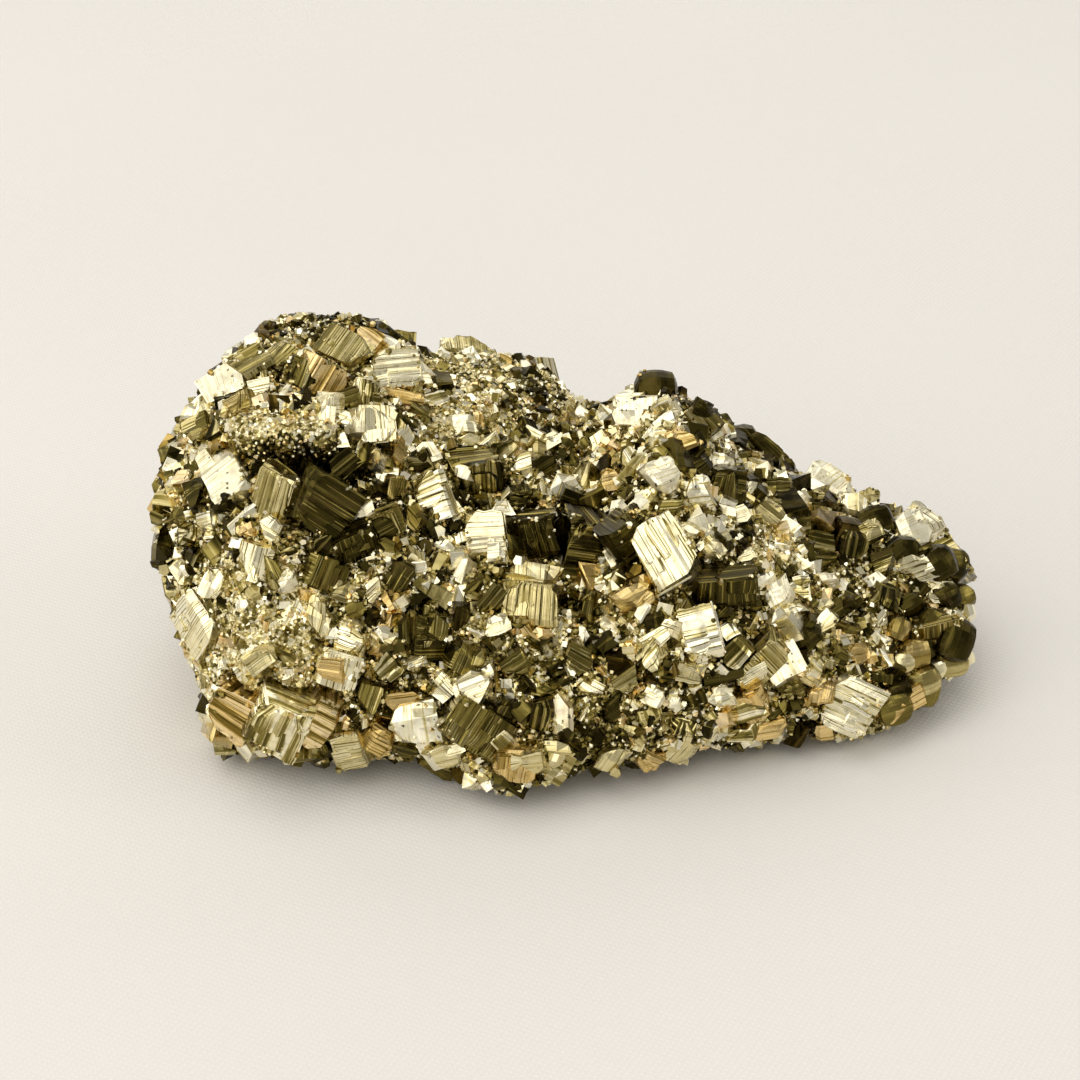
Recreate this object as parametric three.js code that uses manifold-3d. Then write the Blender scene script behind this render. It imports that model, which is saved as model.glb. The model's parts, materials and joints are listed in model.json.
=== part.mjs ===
// A pyrite cluster: one lump of fine granular pyrite with large striated cubes grown into it.
// Millimetres, +Z up. +X runs along the lump and -Y is its display side. The origin is on the table,
// under the middle of the whole cluster's box.
//
// The lump is a loft through upright sections, roughened by noise and by a few named swellings and
// hollows. Each large crystal is a block with growth steps, set where a sight line meets the lump.
// The lump has a socket around each crystal, and a crystal gives way to those set before it.
import * as THREE from "three";
import { mergeVertices } from "three/addons/utils/BufferGeometryUtils.js";
import Module from "manifold-3d";

const wasm = await Module();
wasm.setup();

// ---- Driving dimensions ----
const GAP = 0.3; // clearance between a crystal and its socket, or its neighbour
const STATIONS = 40; // sections along the lump
const RING = 36; // points around each section
const ROUGHNESS = 1.0; // height of the lump's noise
const ROUGHNESS_PITCH = 7; // width of its largest swells
const REST_PLANE = 0.8; // the underside is broken off flat at this height above the lowest outline
const PROUD = 0.4; // share of a crystal's depth that stands out of the lump
const DEPTH_SHARE = 0.95; // a crystal's depth, as a share of its width

// ---- The lump's sections: station x, front y, back y, base z, crest y, crest z ----
const SECTIONS = [
  [-48.6, -1, 6, 23, 1, 26],
  [-47.7, -5.5, 11, 19, 2, 30],
  [-45.8, -9.5, 16, 12, 4, 33],
  [-43.4, -14, 19, 5, 6, 35.5],
  [-40.5, -19, 21, 0.5, 8, 38],
  [-35, -23.5, 22, 0, 11, 40.8],
  [-28, -24, 23, 0, 12, 41.2],
  [-22, -23.5, 23, 0, 12, 39.8],
  [-16, -24.5, 23, 0, 13, 34],
  [-9, -26.5, 23, 0, 17, 33.3],
  [-3, -26.5, 23, 0, 17, 31.4],
  [3, -25, 22, 0, 11, 28.4],
  [10, -24, 21, 0, 7, 35],
  [16, -22, 20, 0, 6, 31.5],
  [24, -18, 19, 0, 6, 25.5],
  [32, -16.5, 18, 0, 7, 18.5],
  [38, -13, 17, 0.5, 8, 16.5],
  [42.5, -9, 16, 1.5, 9, 15.2],
  [45.4, -6, 14, 3, 9, 13.2],
  [48.4, -3, 11, 5, 6, 9.5],
];
const BELLY = 0.3; // height of the widest line, as a share of the section's height
const UPPER_SQUARENESS = 2.3; // superellipse exponent above the belly
const LOWER_SQUARENESS = 3.4; // and below it

// ---- Swellings (push above 0) and hollows (push below 0): centre x, y, z, reach, push ----
const SWELLS = [
  [-33, -7, 31, 7, 2.2], // ledge under the brow
  [-26, -10, 27, 6, -2.6], // hollow below the ledge
  [11, 6, 37, 6, 1.6], // knoll at the summit
  [3, 2, 31, 6, -1.4], // saddle left of the knoll
  [-41, -14, 5, 7, 1], // left heel
  [46, 2, 8, 6, 1.5], // right toe
  [-8, -27, 3, 7, 2.6], // front foot
  [30, 18, 12, 12, 2], // back, right
  [-18, 23, 18, 14, 2.5], // back, left
];

// ---- The display side's sight lines ----
const SIGHT_ELEVATION = THREE.MathUtils.degToRad(30);
const SIGHT_DISTANCE = 368;
const SIGHT_AIM = new THREE.Vector3(-3.4, 8.8, 15.2);

// ---- Large crystals of the display side, by hand: across, up, long, wide, turn, yaw, pitch ----
// across and up are on the plane through the origin that faces the sight lines. The long edge lies
// turn degrees anticlockwise of across. The near face leans yaw degrees right and pitch degrees up.
const CRYSTALS = {
  brow: [
    [-41.8, 36.4, 5.4, 3.8, 25, -20, 15],
    [-38.6, 38.8, 4.2, 3.8, 40, -10, 35],
    [-27.4, 40.6, 5.6, 3.8, -35, 10, 25],
    [-30.6, 37.4, 5.6, 4.2, -30, 5, -10],
    [-21.2, 37.8, 4.6, 5.4, 98, 12, 18],
    [-24.2, 31.3, 4.2, 5.4, 92, 5, 10],
  ],
  face: [
    [-41.8, 25.4, 7.2, 4.4, -50, -25, 20],
    [-30.2, 22.3, 6.4, 7.0, 60, 24, -10],
    [-35.2, 23.4, 5.4, 5.0, 65, -28, -8],
    [-16.1, 22.6, 5.4, 3.8, -68, -5, 12],
    [-11.2, 25.4, 6.0, 4.6, 10, 15, -22],
    [-22.8, 19.8, 4.6, 3.0, 25, 10, -25],
    [-26.2, 17.4, 4.6, 3.0, 25, 18, -25],
    [-29.8, 13.8, 4.4, 3.4, -15, 20, -20],
    [-9.8, 17.7, 6.0, 4.2, 95, -12, 6],
    [-4.2, 18.2, 6.6, 4.8, 6, -22, -18],
    [2.0, 16.4, 7.6, 5.2, 84, 26, -14],
    [7.4, 16.8, 6.8, 4.2, -52, 28, -16],
    [12.2, 15.6, 5.6, 7.2, 30, -10, 14],
    [18.0, 11.3, 9.4, 4.4, 4, 8, -30],
    [-4.6, 9.7, 6.6, 4.6, -5, -8, 4],
    [16.4, 6.2, 5.8, 4.0, 105, -6, 4],
    [-17.3, 5.6, 5.4, 3.4, 91, 22, -12],
  ],
  summit: [
    [8.4, 33.4, 5.4, 4.2, 0, -6, 8],
    [10.8, 36.5, 4.6, 3.6, 0, 4, 52],
    [16.2, 31.8, 4.2, 3.8, 30, 30, 30],
    [19.4, 24.2, 4.4, 4.4, 82, 8, -14],
  ],
  foot: [
    [-44.4, 7.2, 6.6, 5.2, -50, -45, -5],
    [-35.2, -4.2, 6.4, 6.6, -30, -14, -34],
    [-40.2, -3.0, 5.8, 5.0, 55, -30, -24],
    [-30.6, -4.4, 6.6, 3.6, 60, 8, -30],
    [-26.9, -7.4, 4.8, 3.8, -75, 0, -38],
    [-28.2, 1.9, 4.8, 3.8, -15, 0, -12],
    [-18.4, -4.6, 5.6, 4.6, 5, -8, -4],
    [-11.3, -5.4, 7.6, 5.0, -30, 12, -12],
    [-6.5, -9.6, 4.8, 3.4, -4, 6, -30],
    [22.2, -2.6, 4.4, 3.4, 30, 0, -30],
    [26.4, 2.2, 4.4, 3.6, 30, -8, 14],
    [23.4, 2.6, 7.2, 3.4, 48, 20, -20],
    [34.8, -2.6, 5.8, 5.6, 64, -8, -6],
  ],
  toe: [
    [36.0, 21.4, 3.8, 4.4, 92, -6, 10],
    [41.9, 18.4, 4.8, 4.2, -66, 12, 10],
    [34.4, 17.6, 4.6, 4.4, 70, 10, -16],
    [46.8, 14.6, 4.4, 3.8, -10, 28, 30],
    [45.0, 5.8, 5.4, 4.6, 12, 10, -26],
  ],
};

// ---- Large crystals of the other sides, by rule ----
const REAR_COUNT = 14;
const REAR_LENGTH = [5, 8]; // shortest and longest
const REAR_SPREAD = 42; // how far they reach to each side of the middle
const REAR_LEAN = 25; // most degrees that the near face leans from the lump's own normal

const BRASSY = { color: 0xc2a869, roughness: 0.28, metalness: 1 };
const GRANULAR = { color: 0x9a8248, roughness: 0.5, metalness: 1 };

/** A repeatable random number from 0 to 1 for each set of whole numbers. */
function chance(...keys) {
  let hash = 2166136261;
  for (const key of keys) {
    hash = Math.imul(hash ^ (key | 0), 16777619);
    hash ^= hash >>> 13;
    hash = Math.imul(hash, 1540483477);
    hash ^= hash >>> 15;
  }
  return (hash >>> 0) / 2 ** 32;
}

/** Smooth noise from -1 to 1 at a point, with one swell for each unit of distance. */
function noise(point, seed) {
  const at = point.toArray();
  const cell = at.map(Math.floor);
  const share = at.map((value, i) => THREE.MathUtils.smoothstep(value - cell[i], 0, 1));
  let sum = 0;
  for (let corner = 0; corner < 8; corner++) {
    const step = [corner & 1, (corner >> 1) & 1, corner >> 2];
    const weight = step.reduce((product, s, i) => product * (s ? share[i] : 1 - share[i]), 1);
    sum += weight * chance(...cell.map((c, i) => c + step[i]), seed);
  }
  return 2 * sum - 1;
}

/** The section at station x: each column of SECTIONS on a smooth curve through its rows. */
function sectionAt(x) {
  const last = SECTIONS.length - 1;
  const row = Math.max(0, SECTIONS.findLastIndex(([station], i) => station <= x && i < last));
  const [before, from, to, after] = [row - 1, row, row + 1, row + 2].map(
    (r) => SECTIONS[THREE.MathUtils.clamp(r, 0, last)],
  );
  const run = to[0] - from[0];
  const t = (x - from[0]) / run;
  return from.slice(1).map((start, column) => {
    const end = to[column + 1];
    const slopeIn = (end - before[column + 1]) / (to[0] - before[0]);
    const slopeOut = (after[column + 1] - start) / (after[0] - from[0]);
    return (
      (1 + 2 * t) * (1 - t) ** 2 * start +
      t * t * (3 - 2 * t) * end +
      run * (t * (1 - t) ** 2 * slopeIn + t * t * (t - 1) * slopeOut)
    );
  });
}

/** A point of the smooth lump, at station x and at an angle around its section. */
function skinPoint(x, angle) {
  const [front, back, base, crestY, crestZ] = sectionAt(x);
  const bellyZ = base + BELLY * (crestZ - base);
  const middleY = (front + back) / 2;
  const isUpper = Math.sin(angle) > 0;
  const power = 2 / (isUpper ? UPPER_SQUARENESS : LOWER_SQUARENESS);
  const rounded = (value) => Math.sign(value) * Math.abs(value) ** power;
  const rise = rounded(Math.sin(angle));
  const lean = isUpper ? (crestY - middleY) * rise : 0;
  const y = middleY + lean + (rounded(Math.cos(angle)) * (back - front)) / 2;
  return new THREE.Vector3(x, y, bellyZ + rise * (isUpper ? crestZ - bellyZ : bellyZ - base));
}

/** A skin point moved away from its section's middle, or towards it, by the swells and the noise. */
function roughened(point, middle) {
  let push = 0;
  for (const [x, y, z, reach, height] of SWELLS) {
    const away = point.distanceTo(new THREE.Vector3(x, y, z)) / reach;
    push += height * Math.exp(-away * away);
  }
  for (const [seed, [frequency, share]] of [[1, 1.1], [2, 0.6], [4.4, 0.5]].entries()) {
    const scaled = point.clone().multiplyScalar(frequency / ROUGHNESS_PITCH);
    push += ROUGHNESS * share * noise(scaled, seed);
  }
  return point.clone().addScaledVector(point.clone().sub(middle).normalize(), push);
}

/** The middle of a ring of points. */
function middleOf(ring) {
  return ring.reduce((sum, p) => sum.add(p), new THREE.Vector3()).divideScalar(ring.length);
}

/** The lump before it is cut: rings of points along X, with a fan at each end. */
function lumpGeometry() {
  const [first, last] = [SECTIONS[0][0], SECTIONS[SECTIONS.length - 1][0]];
  const points = [];
  const faces = [];
  for (let i = 0; i < STATIONS; i++) {
    const even = (2 * i) / (STATIONS - 1) - 1;
    const crowded = 1.3 * even - 0.3 * even ** 3; // closer together near the ends
    const x = (first + last + (last - first) * crowded) / 2;
    const ring = Array.from({ length: RING }, (_, j) => skinPoint(x, (2 * Math.PI * j) / RING));
    const middle = middleOf(ring);
    ring.forEach((p) => points.push(roughened(p, middle)));
  }
  const at = (i, j) => i * RING + (j % RING);
  for (let i = 0; i < STATIONS - 1; i++)
    for (let j = 0; j < RING; j++) {
      faces.push(at(i, j), at(i, j + 1), at(i + 1, j));
      faces.push(at(i + 1, j), at(i, j + 1), at(i + 1, j + 1));
    }
  for (const end of [0, STATIONS - 1]) {
    const tip = points.push(middleOf(points.slice(at(end, 0), at(end, 0) + RING))) - 1;
    for (let j = 0; j < RING; j++) {
      const edge = [at(end, j), at(end, j + 1)];
      faces.push(tip, ...(end ? edge : edge.reverse()));
    }
  }
  return new THREE.BufferGeometry().setFromPoints(points).setIndex(faces);
}

/** A block's cross-section, wide by deep, with a growth step on each of its four sides. */
function steppedOutline(wide, deep, seed) {
  const [w, d] = [wide / 2, deep / 2];
  const [a, b, c, e] = [0, 1, 2, 3].map((side) => (0.1 + 0.14 * chance(seed, side)) * Math.min(w, d));
  const [p, q, r, s] = [0, 1, 2, 3].map((side) => 0.9 * chance(seed, side + 4) - 0.45);
  return [
    [-w + e, -d], [p * w, -d], [p * w, -d + a],
    [w, -d + a], [w, q * d], [w - b, q * d],
    [w - b, d], [-r * w, d], [-r * w, d - c],
    [-w, d - c], [-w, -s * d], [-w + e, -s * d],
  ].map(([x, y]) => new THREE.Vector2(x, y));
}

/** A crystal with its long edge along X and its near face towards +Z. */
function crystalGeometry({ long, wide, seed }) {
  const outline = new THREE.Shape(steppedOutline(wide, wide * DEPTH_SHARE, seed));
  const geometry = new THREE.ExtrudeGeometry(outline, { depth: long, bevelEnabled: false });
  const [x, y, z] = [new THREE.Vector3(1, 0, 0), new THREE.Vector3(0, 1, 0), new THREE.Vector3(0, 0, 1)];
  const toNearFace = new THREE.Matrix4().makeBasis(y, z, x);
  return geometry.translate(0, 0, -long / 2).applyMatrix4(toNearFace);
}

/** The room that a crystal takes, with the gap on every side. */
function socketGeometry({ long, wide }) {
  const [x, y, z] = [long, wide, wide * DEPTH_SHARE].map((size) => size + 2 * GAP);
  return new THREE.BoxGeometry(x, y, z);
}

/** A geometry, placed by a matrix, as a manifold-3d solid. */
function toSolid(geometry, matrix = new THREE.Matrix4()) {
  const bare = new THREE.BufferGeometry();
  bare.setAttribute("position", geometry.getAttribute("position").clone());
  bare.setIndex(geometry.index);
  const merged = mergeVertices(bare.applyMatrix4(matrix), 1e-4);
  const vertProperties = merged.attributes.position.array;
  const triVerts = new Uint32Array(merged.index.array);
  return new wasm.Manifold(new wasm.Mesh({ numProp: 3, vertProperties, triVerts }));
}

/** A solid's largest body. Cutting can leave chips beside it, which are dropped. */
function mainBody(solid) {
  return solid.decompose().reduce((a, b) => (b.volume() > a.volume() ? b : a));
}

/** A named mesh of a solid, in a finish of its own. */
function meshOf(name, solid, finish) {
  const { numVert, numProp, vertProperties, triVerts } = mainBody(solid).getMesh();
  const positions = new Float32Array(numVert * 3);
  for (let i = 0; i < numVert; i++)
    positions.set(vertProperties.subarray(i * numProp, i * numProp + 3), i * 3);
  const geometry = new THREE.BufferGeometry();
  geometry.setAttribute("position", new THREE.BufferAttribute(positions, 3));
  geometry.setIndex(new THREE.BufferAttribute(triVerts, 1));
  geometry.computeVertexNormals();
  const mesh = new THREE.Mesh(geometry, new THREE.MeshStandardMaterial(finish));
  mesh.name = name;
  return mesh;
}

/** Where a line from one point through another first meets the lump, or null. */
function meet(lump, from, through) {
  const direction = through.clone().sub(from).normalize();
  return new THREE.Raycaster(from, direction).intersectObject(lump)[0] ?? null;
}

/** The matrix of a crystal whose near face looks along face, part sunk into the lump at a point. */
function seat(point, face, edge, wide) {
  const side = new THREE.Vector3().crossVectors(face, edge);
  const middle = point.clone().addScaledVector(face, (PROUD - 0.5) * wide * DEPTH_SHARE);
  return new THREE.Matrix4().makeBasis(edge, side, face).setPosition(middle);
}

/** The display side's crystals, each with its size and its matrix. */
function displaySeats(lump) {
  const across = new THREE.Vector3(1, 0, 0);
  const up = new THREE.Vector3(0, Math.sin(SIGHT_ELEVATION), Math.cos(SIGHT_ELEVATION));
  const near = new THREE.Vector3().crossVectors(across, up);
  const eye = SIGHT_AIM.clone().addScaledVector(near, SIGHT_DISTANCE);
  const seats = [];
  for (const [region, rows] of Object.entries(CRYSTALS))
    for (const [row, [right, rise, long, wide, ...angles]] of rows.entries()) {
      const target = across.clone().multiplyScalar(right).addScaledVector(up, rise);
      const hit = meet(lump, eye, target);
      if (!hit) throw new Error(`${region} crystal ${row + 1} misses the lump`);
      const [turn, yaw, pitch] = angles.map(THREE.MathUtils.degToRad);
      const lean = new THREE.Quaternion()
        .setFromAxisAngle(up, yaw)
        .multiply(new THREE.Quaternion().setFromAxisAngle(across, -pitch));
      const edge = across.clone().applyAxisAngle(near, turn).applyQuaternion(lean);
      const matrix = seat(hit.point, near.clone().applyQuaternion(lean), edge, wide);
      seats.push({ name: `${region}_crystal_${row + 1}`, long, wide, seed: seats.length, matrix });
    }
  return seats;
}

/** The other sides' crystals: lines come in from behind, evenly along the lump and up its back. */
function rearSeats(lump) {
  const seats = [];
  for (let i = 0; i < REAR_COUNT; i++) {
    const along = 2 * ((0.5 + 0.618 * i) % 1) - 1; // the two steps fill a square evenly
    const height = (0.5 + 0.7549 * i) % 1;
    const aim = new THREE.Vector3(REAR_SPREAD * along, 2, 9);
    const out = new THREE.Vector3(1.3 * along ** 3, 1, 0.05 + 0.8 * height).normalize();
    const hit = meet(lump, aim.clone().addScaledVector(out, SIGHT_DISTANCE), aim);
    if (!hit) throw new Error(`rear crystal ${i + 1} misses the lump`);
    const [shortest, longest] = REAR_LENGTH;
    const long = shortest + (longest - shortest) * chance(i, 20);
    const spin = (axis, key, most) =>
      new THREE.Quaternion().setFromAxisAngle(axis, THREE.MathUtils.degToRad(most) * (2 * chance(i, key) - 1));
    const face = hit.face.normal.clone();
    face.applyQuaternion(spin(new THREE.Vector3(1, 0, 0), 21, REAR_LEAN));
    face.applyQuaternion(spin(new THREE.Vector3(0, 0, 1), 22, REAR_LEAN));
    const edge = new THREE.Vector3(chance(i, 23) - 0.5, chance(i, 24) - 0.5, chance(i, 25) - 0.5);
    edge.projectOnPlane(face).normalize();
    const wide = long * (0.65 + 0.25 * chance(i, 26));
    seats.push({ name: `rear_crystal_${i + 1}`, long, wide, seed: 100 + i, matrix: seat(hit.point, face, edge, wide) });
  }
  return seats;
}

/** The solid below the plane that the cluster rests on. */
function tableSolid() {
  const slab = new THREE.BoxGeometry(200, 200, 40);
  return toSolid(slab, new THREE.Matrix4().makeTranslation(0, 0, REST_PLANE - 20));
}

/** The whole cluster, standing on the table with its box centred on the origin. */
function buildCluster() {
  const whole = new THREE.Mesh(lumpGeometry());
  const table = tableSolid();
  let lump = toSolid(whole.geometry).subtract(table);
  let taken = table;
  const cluster = new THREE.Group();
  for (const crystal of [...displaySeats(whole), ...rearSeats(whole)]) {
    const body = toSolid(crystalGeometry(crystal), crystal.matrix).subtract(taken);
    const socket = toSolid(socketGeometry(crystal), crystal.matrix);
    taken = taken.add(socket);
    lump = lump.subtract(socket);
    cluster.add(meshOf(crystal.name, body, BRASSY));
  }
  cluster.add(meshOf("granular_lump", lump, GRANULAR));
  const box = new THREE.Box3().setFromObject(cluster);
  const middle = box.getCenter(new THREE.Vector3());
  cluster.position.set(-middle.x, -middle.y, -box.min.z);
  return new THREE.Group().add(cluster);
}

export default buildCluster();
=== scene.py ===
"""A pyrite cluster: a granular lump with striated crystals of every size grown into it.

Metres, +Z up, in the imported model's own frame. +X runs along the lump towards its low end, and the
display side faces -Y.
"""

import json
import logging
import math
from collections.abc import Iterable, Sequence
from dataclasses import dataclass, field
from enum import Enum

import bmesh
import bpy
import numpy as np
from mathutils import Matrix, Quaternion, Vector
from mathutils.bvhtree import BVHTree
from mathutils.noise import noise as smooth_noise

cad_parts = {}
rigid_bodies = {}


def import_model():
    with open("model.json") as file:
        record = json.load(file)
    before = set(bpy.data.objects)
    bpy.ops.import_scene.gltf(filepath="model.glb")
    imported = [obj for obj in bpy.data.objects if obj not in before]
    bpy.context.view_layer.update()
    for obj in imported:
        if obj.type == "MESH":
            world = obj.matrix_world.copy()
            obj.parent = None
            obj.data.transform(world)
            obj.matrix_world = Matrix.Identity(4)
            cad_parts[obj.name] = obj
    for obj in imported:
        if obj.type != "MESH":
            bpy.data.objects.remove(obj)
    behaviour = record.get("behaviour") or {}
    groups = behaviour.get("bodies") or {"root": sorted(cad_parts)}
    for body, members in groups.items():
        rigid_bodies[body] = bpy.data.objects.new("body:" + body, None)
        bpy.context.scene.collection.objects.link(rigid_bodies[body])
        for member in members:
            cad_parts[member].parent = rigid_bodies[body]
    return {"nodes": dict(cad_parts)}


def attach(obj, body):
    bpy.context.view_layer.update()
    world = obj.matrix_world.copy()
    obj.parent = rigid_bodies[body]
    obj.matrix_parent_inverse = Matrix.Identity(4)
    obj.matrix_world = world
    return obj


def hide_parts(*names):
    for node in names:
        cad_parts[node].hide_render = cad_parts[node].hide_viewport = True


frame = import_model()
log = logging.getLogger("pyrite")

MM = 0.001
BODY = "root"
LUMP = "granular_lump"


# ---- Tones, and where the large crystals' tones are ----


class Tone(Enum):
    """A crystal's shade, from 0 for dark to 1 for pale: partly its own tarnish and freshness, and partly
    painted reflection, as a crystal is coloured dark or bright where its facets would mirror dark or bright
    surroundings.
    """

    DARK = 0.10
    BROWN = 0.32
    GREY = 0.50
    TAN = 0.66
    CREAM = 0.84
    WHITE = 0.97

    @property
    def finish(self) -> str:
        """The finish of a crystal of this tone."""
        return {Tone.TAN: "tan", Tone.WHITE: "satin"}.get(self, "bright")


TONE_LETTERS = {tone.name[0]: tone for tone in Tone}

# One letter for each large crystal of a region, in the order of their numbers.
LARGE_TONES = {
    "brow": "WGGTCC",
    "face": "WDGCDBDBCDDDCDGCD",
    "summit": "WDGD",
    "foot": "CTTTTCWBTTWGC",
    "toe": "WWDBB",
    "rear": "CDTGBCDWTGBBCC",
}

# The large crystals whose edges are rounded off.
ROUNDED = ("summit_crystal_2", "toe_crystal_3", "toe_crystal_4")


# ---- Sight lines: the display side is laid out on a plane that faces them ----


@dataclass(frozen=True)
class Sight:
    """The display side's viewpoint, and the plane that its layout is given on."""

    origin: tuple[float, float, float] = (-0.79, -3.48, -0.80)
    aim: tuple[float, float, float] = (-4.19, 5.32, 14.40)
    elevation: float = math.radians(30)
    distance: float = 368.0

    @property
    def across(self) -> Vector:
        """The plane's first direction."""
        return Vector((1, 0, 0))

    @property
    def up(self) -> Vector:
        """The plane's second direction."""
        return Vector((0, math.sin(self.elevation), math.cos(self.elevation)))

    @property
    def near(self) -> Vector:
        """The direction from the object to the viewpoint."""
        return self.across.cross(self.up)

    @property
    def eye(self) -> Vector:
        """The viewpoint, in metres."""
        return (Vector(self.aim) + self.near * self.distance) * MM

    def point(self, right: float, rise: float) -> Vector:
        """A point of the plane.

        Args:
            right: Millimetres across.
            rise: Millimetres up.

        Returns:
            The point, in metres.
        """
        return (Vector(self.origin) + self.across * right + self.up * rise) * MM

    def layout(self, points: np.ndarray) -> np.ndarray:
        """Where points of the object appear on the plane.

        Args:
            points: An N by 3 array, in metres.

        Returns:
            An N by 2 array of millimetres across and up.
        """
        eye = np.array(self.eye)
        origin = np.array(self.origin) * MM
        near = np.array(self.near)
        ray = points - eye
        reach = ((origin - eye) @ near) / (ray @ near)
        hit = eye + ray * reach[:, None] - origin
        return np.stack([hit @ np.array(self.across), hit @ np.array(self.up)], axis=1) / MM


SIGHT = Sight()


# ---- Blocks: the striated crystal shape ----


@dataclass
class Seat:
    """Where a crystal is: its middle, its three edge directions as rows, and its half sizes, in metres."""

    middle: np.ndarray
    axes: np.ndarray
    half: np.ndarray

    def inside(self, points: np.ndarray, margin: float) -> np.ndarray:
        """Which points lie in the crystal's block, grown by a margin.

        Args:
            points: An N by 3 array.
            margin: How far the block is grown on every side.

        Returns:
            A mask of N values.
        """
        local = (points - self.middle) @ self.axes.T
        return np.all(np.abs(local) <= self.half + margin, axis=1)


@dataclass
class Shards:
    """Vertices, faces and their attributes, gathered for one mesh."""

    points: list[np.ndarray] = field(default_factory=list)
    quads: list[np.ndarray] = field(default_factory=list)
    uvs: list[np.ndarray] = field(default_factory=list)
    shades: list[np.ndarray] = field(default_factory=list)
    seeds: list[np.ndarray] = field(default_factory=list)
    count: int = 0

    def add(
        self, points: np.ndarray, quads: np.ndarray, uvs: np.ndarray, shade: float = 0, seed: float = 0
    ) -> None:
        """Adds a closed block.

        Args:
            points: Its vertices.
            quads: Its faces, by vertex number.
            uvs: Four pairs for each face: millimetres along and across its striae.
            shade: Its shade, from 0 to 1.
            seed: A number that sets its own pattern.
        """
        self.points.append(points)
        self.quads.append(quads + self.count)
        self.uvs.append(uvs)
        self.shades.append(np.full(len(quads), shade))
        self.seeds.append(np.full(len(quads), seed))
        self.count += len(points)

    def mesh(self, name: str) -> bpy.types.Mesh:
        """The gathered blocks as one mesh, with its UV map and attributes.

        Args:
            name: The mesh's name.

        Returns:
            The mesh.
        """
        mesh = bpy.data.meshes.new(name)
        mesh.from_pydata(np.concatenate(self.points).tolist(), [], np.concatenate(self.quads).tolist())
        uv = mesh.uv_layers.new(name="striae")
        uv.data.foreach_set("uv", np.concatenate(self.uvs).astype(np.float32).ravel())
        for key, values in (("shade", self.shades), ("seed", self.seeds)):
            attribute = mesh.attributes.new(key, "FLOAT", "FACE")
            attribute.data.foreach_set("value", np.concatenate(values).astype(np.float32))
        mesh.update()
        return mesh


def lattice_shell(counts: Sequence[int]) -> tuple[np.ndarray, np.ndarray, np.ndarray]:
    """The quads over the surface of a block of lattice cells.

    Args:
        counts: The cells along each axis.

    Returns:
        The lattice place of each vertex, the quads by vertex number, and the axis that each quad faces.
    """
    steps = ((0, 0), (1, 0), (1, 1), (0, 1))
    quads, facing = [], []
    for axis in range(3):
        u, v = (axis + 1) % 3, (axis + 2) % 3
        a, b = (grid.ravel() for grid in np.meshgrid(np.arange(counts[u]), np.arange(counts[v])))
        for end in (0, counts[axis]):
            corners = np.zeros((len(a), 4, 3), int)
            for place, (da, db) in enumerate(steps if end else steps[::-1]):
                corners[:, place, axis] = end
                corners[:, place, u] = a + da
                corners[:, place, v] = b + db
            quads.append(corners)
            facing.append(np.full(len(a), axis))
    corners = np.concatenate(quads)
    key = np.array([1, counts[0] + 1, (counts[0] + 1) * (counts[1] + 1)])
    _, first, place = np.unique(corners.reshape(-1, 3) @ key, return_index=True, return_inverse=True)
    return corners.reshape(-1, 3)[first], place.reshape(-1, 4), np.concatenate(facing)


FLAT_SHARE, SLOPED_SHARE = 0.45, 0.35  # the shares of a face's strips that lie flat and that slope
FLAT_WIDTHS = (0.6, 1.7)  # the least and most width of a flat strip, in strips
SLOPED_WIDTHS = (0.25, 0.7)  # the same for a sloping strip
RISER_WIDTH = 0.09  # the width of a riser, in strips
RISER_HEIGHTS = (0.3, 0.9)  # the least and most height of a riser, in reliefs
CUT_CHANCES = (0.4, 0.2, 0.4)  # how often a cut leans back, not at all and forward along an edge
BALL_SHARE = 1.2  # the size of the ball that a rounded block leans towards, next to the block's


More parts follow.
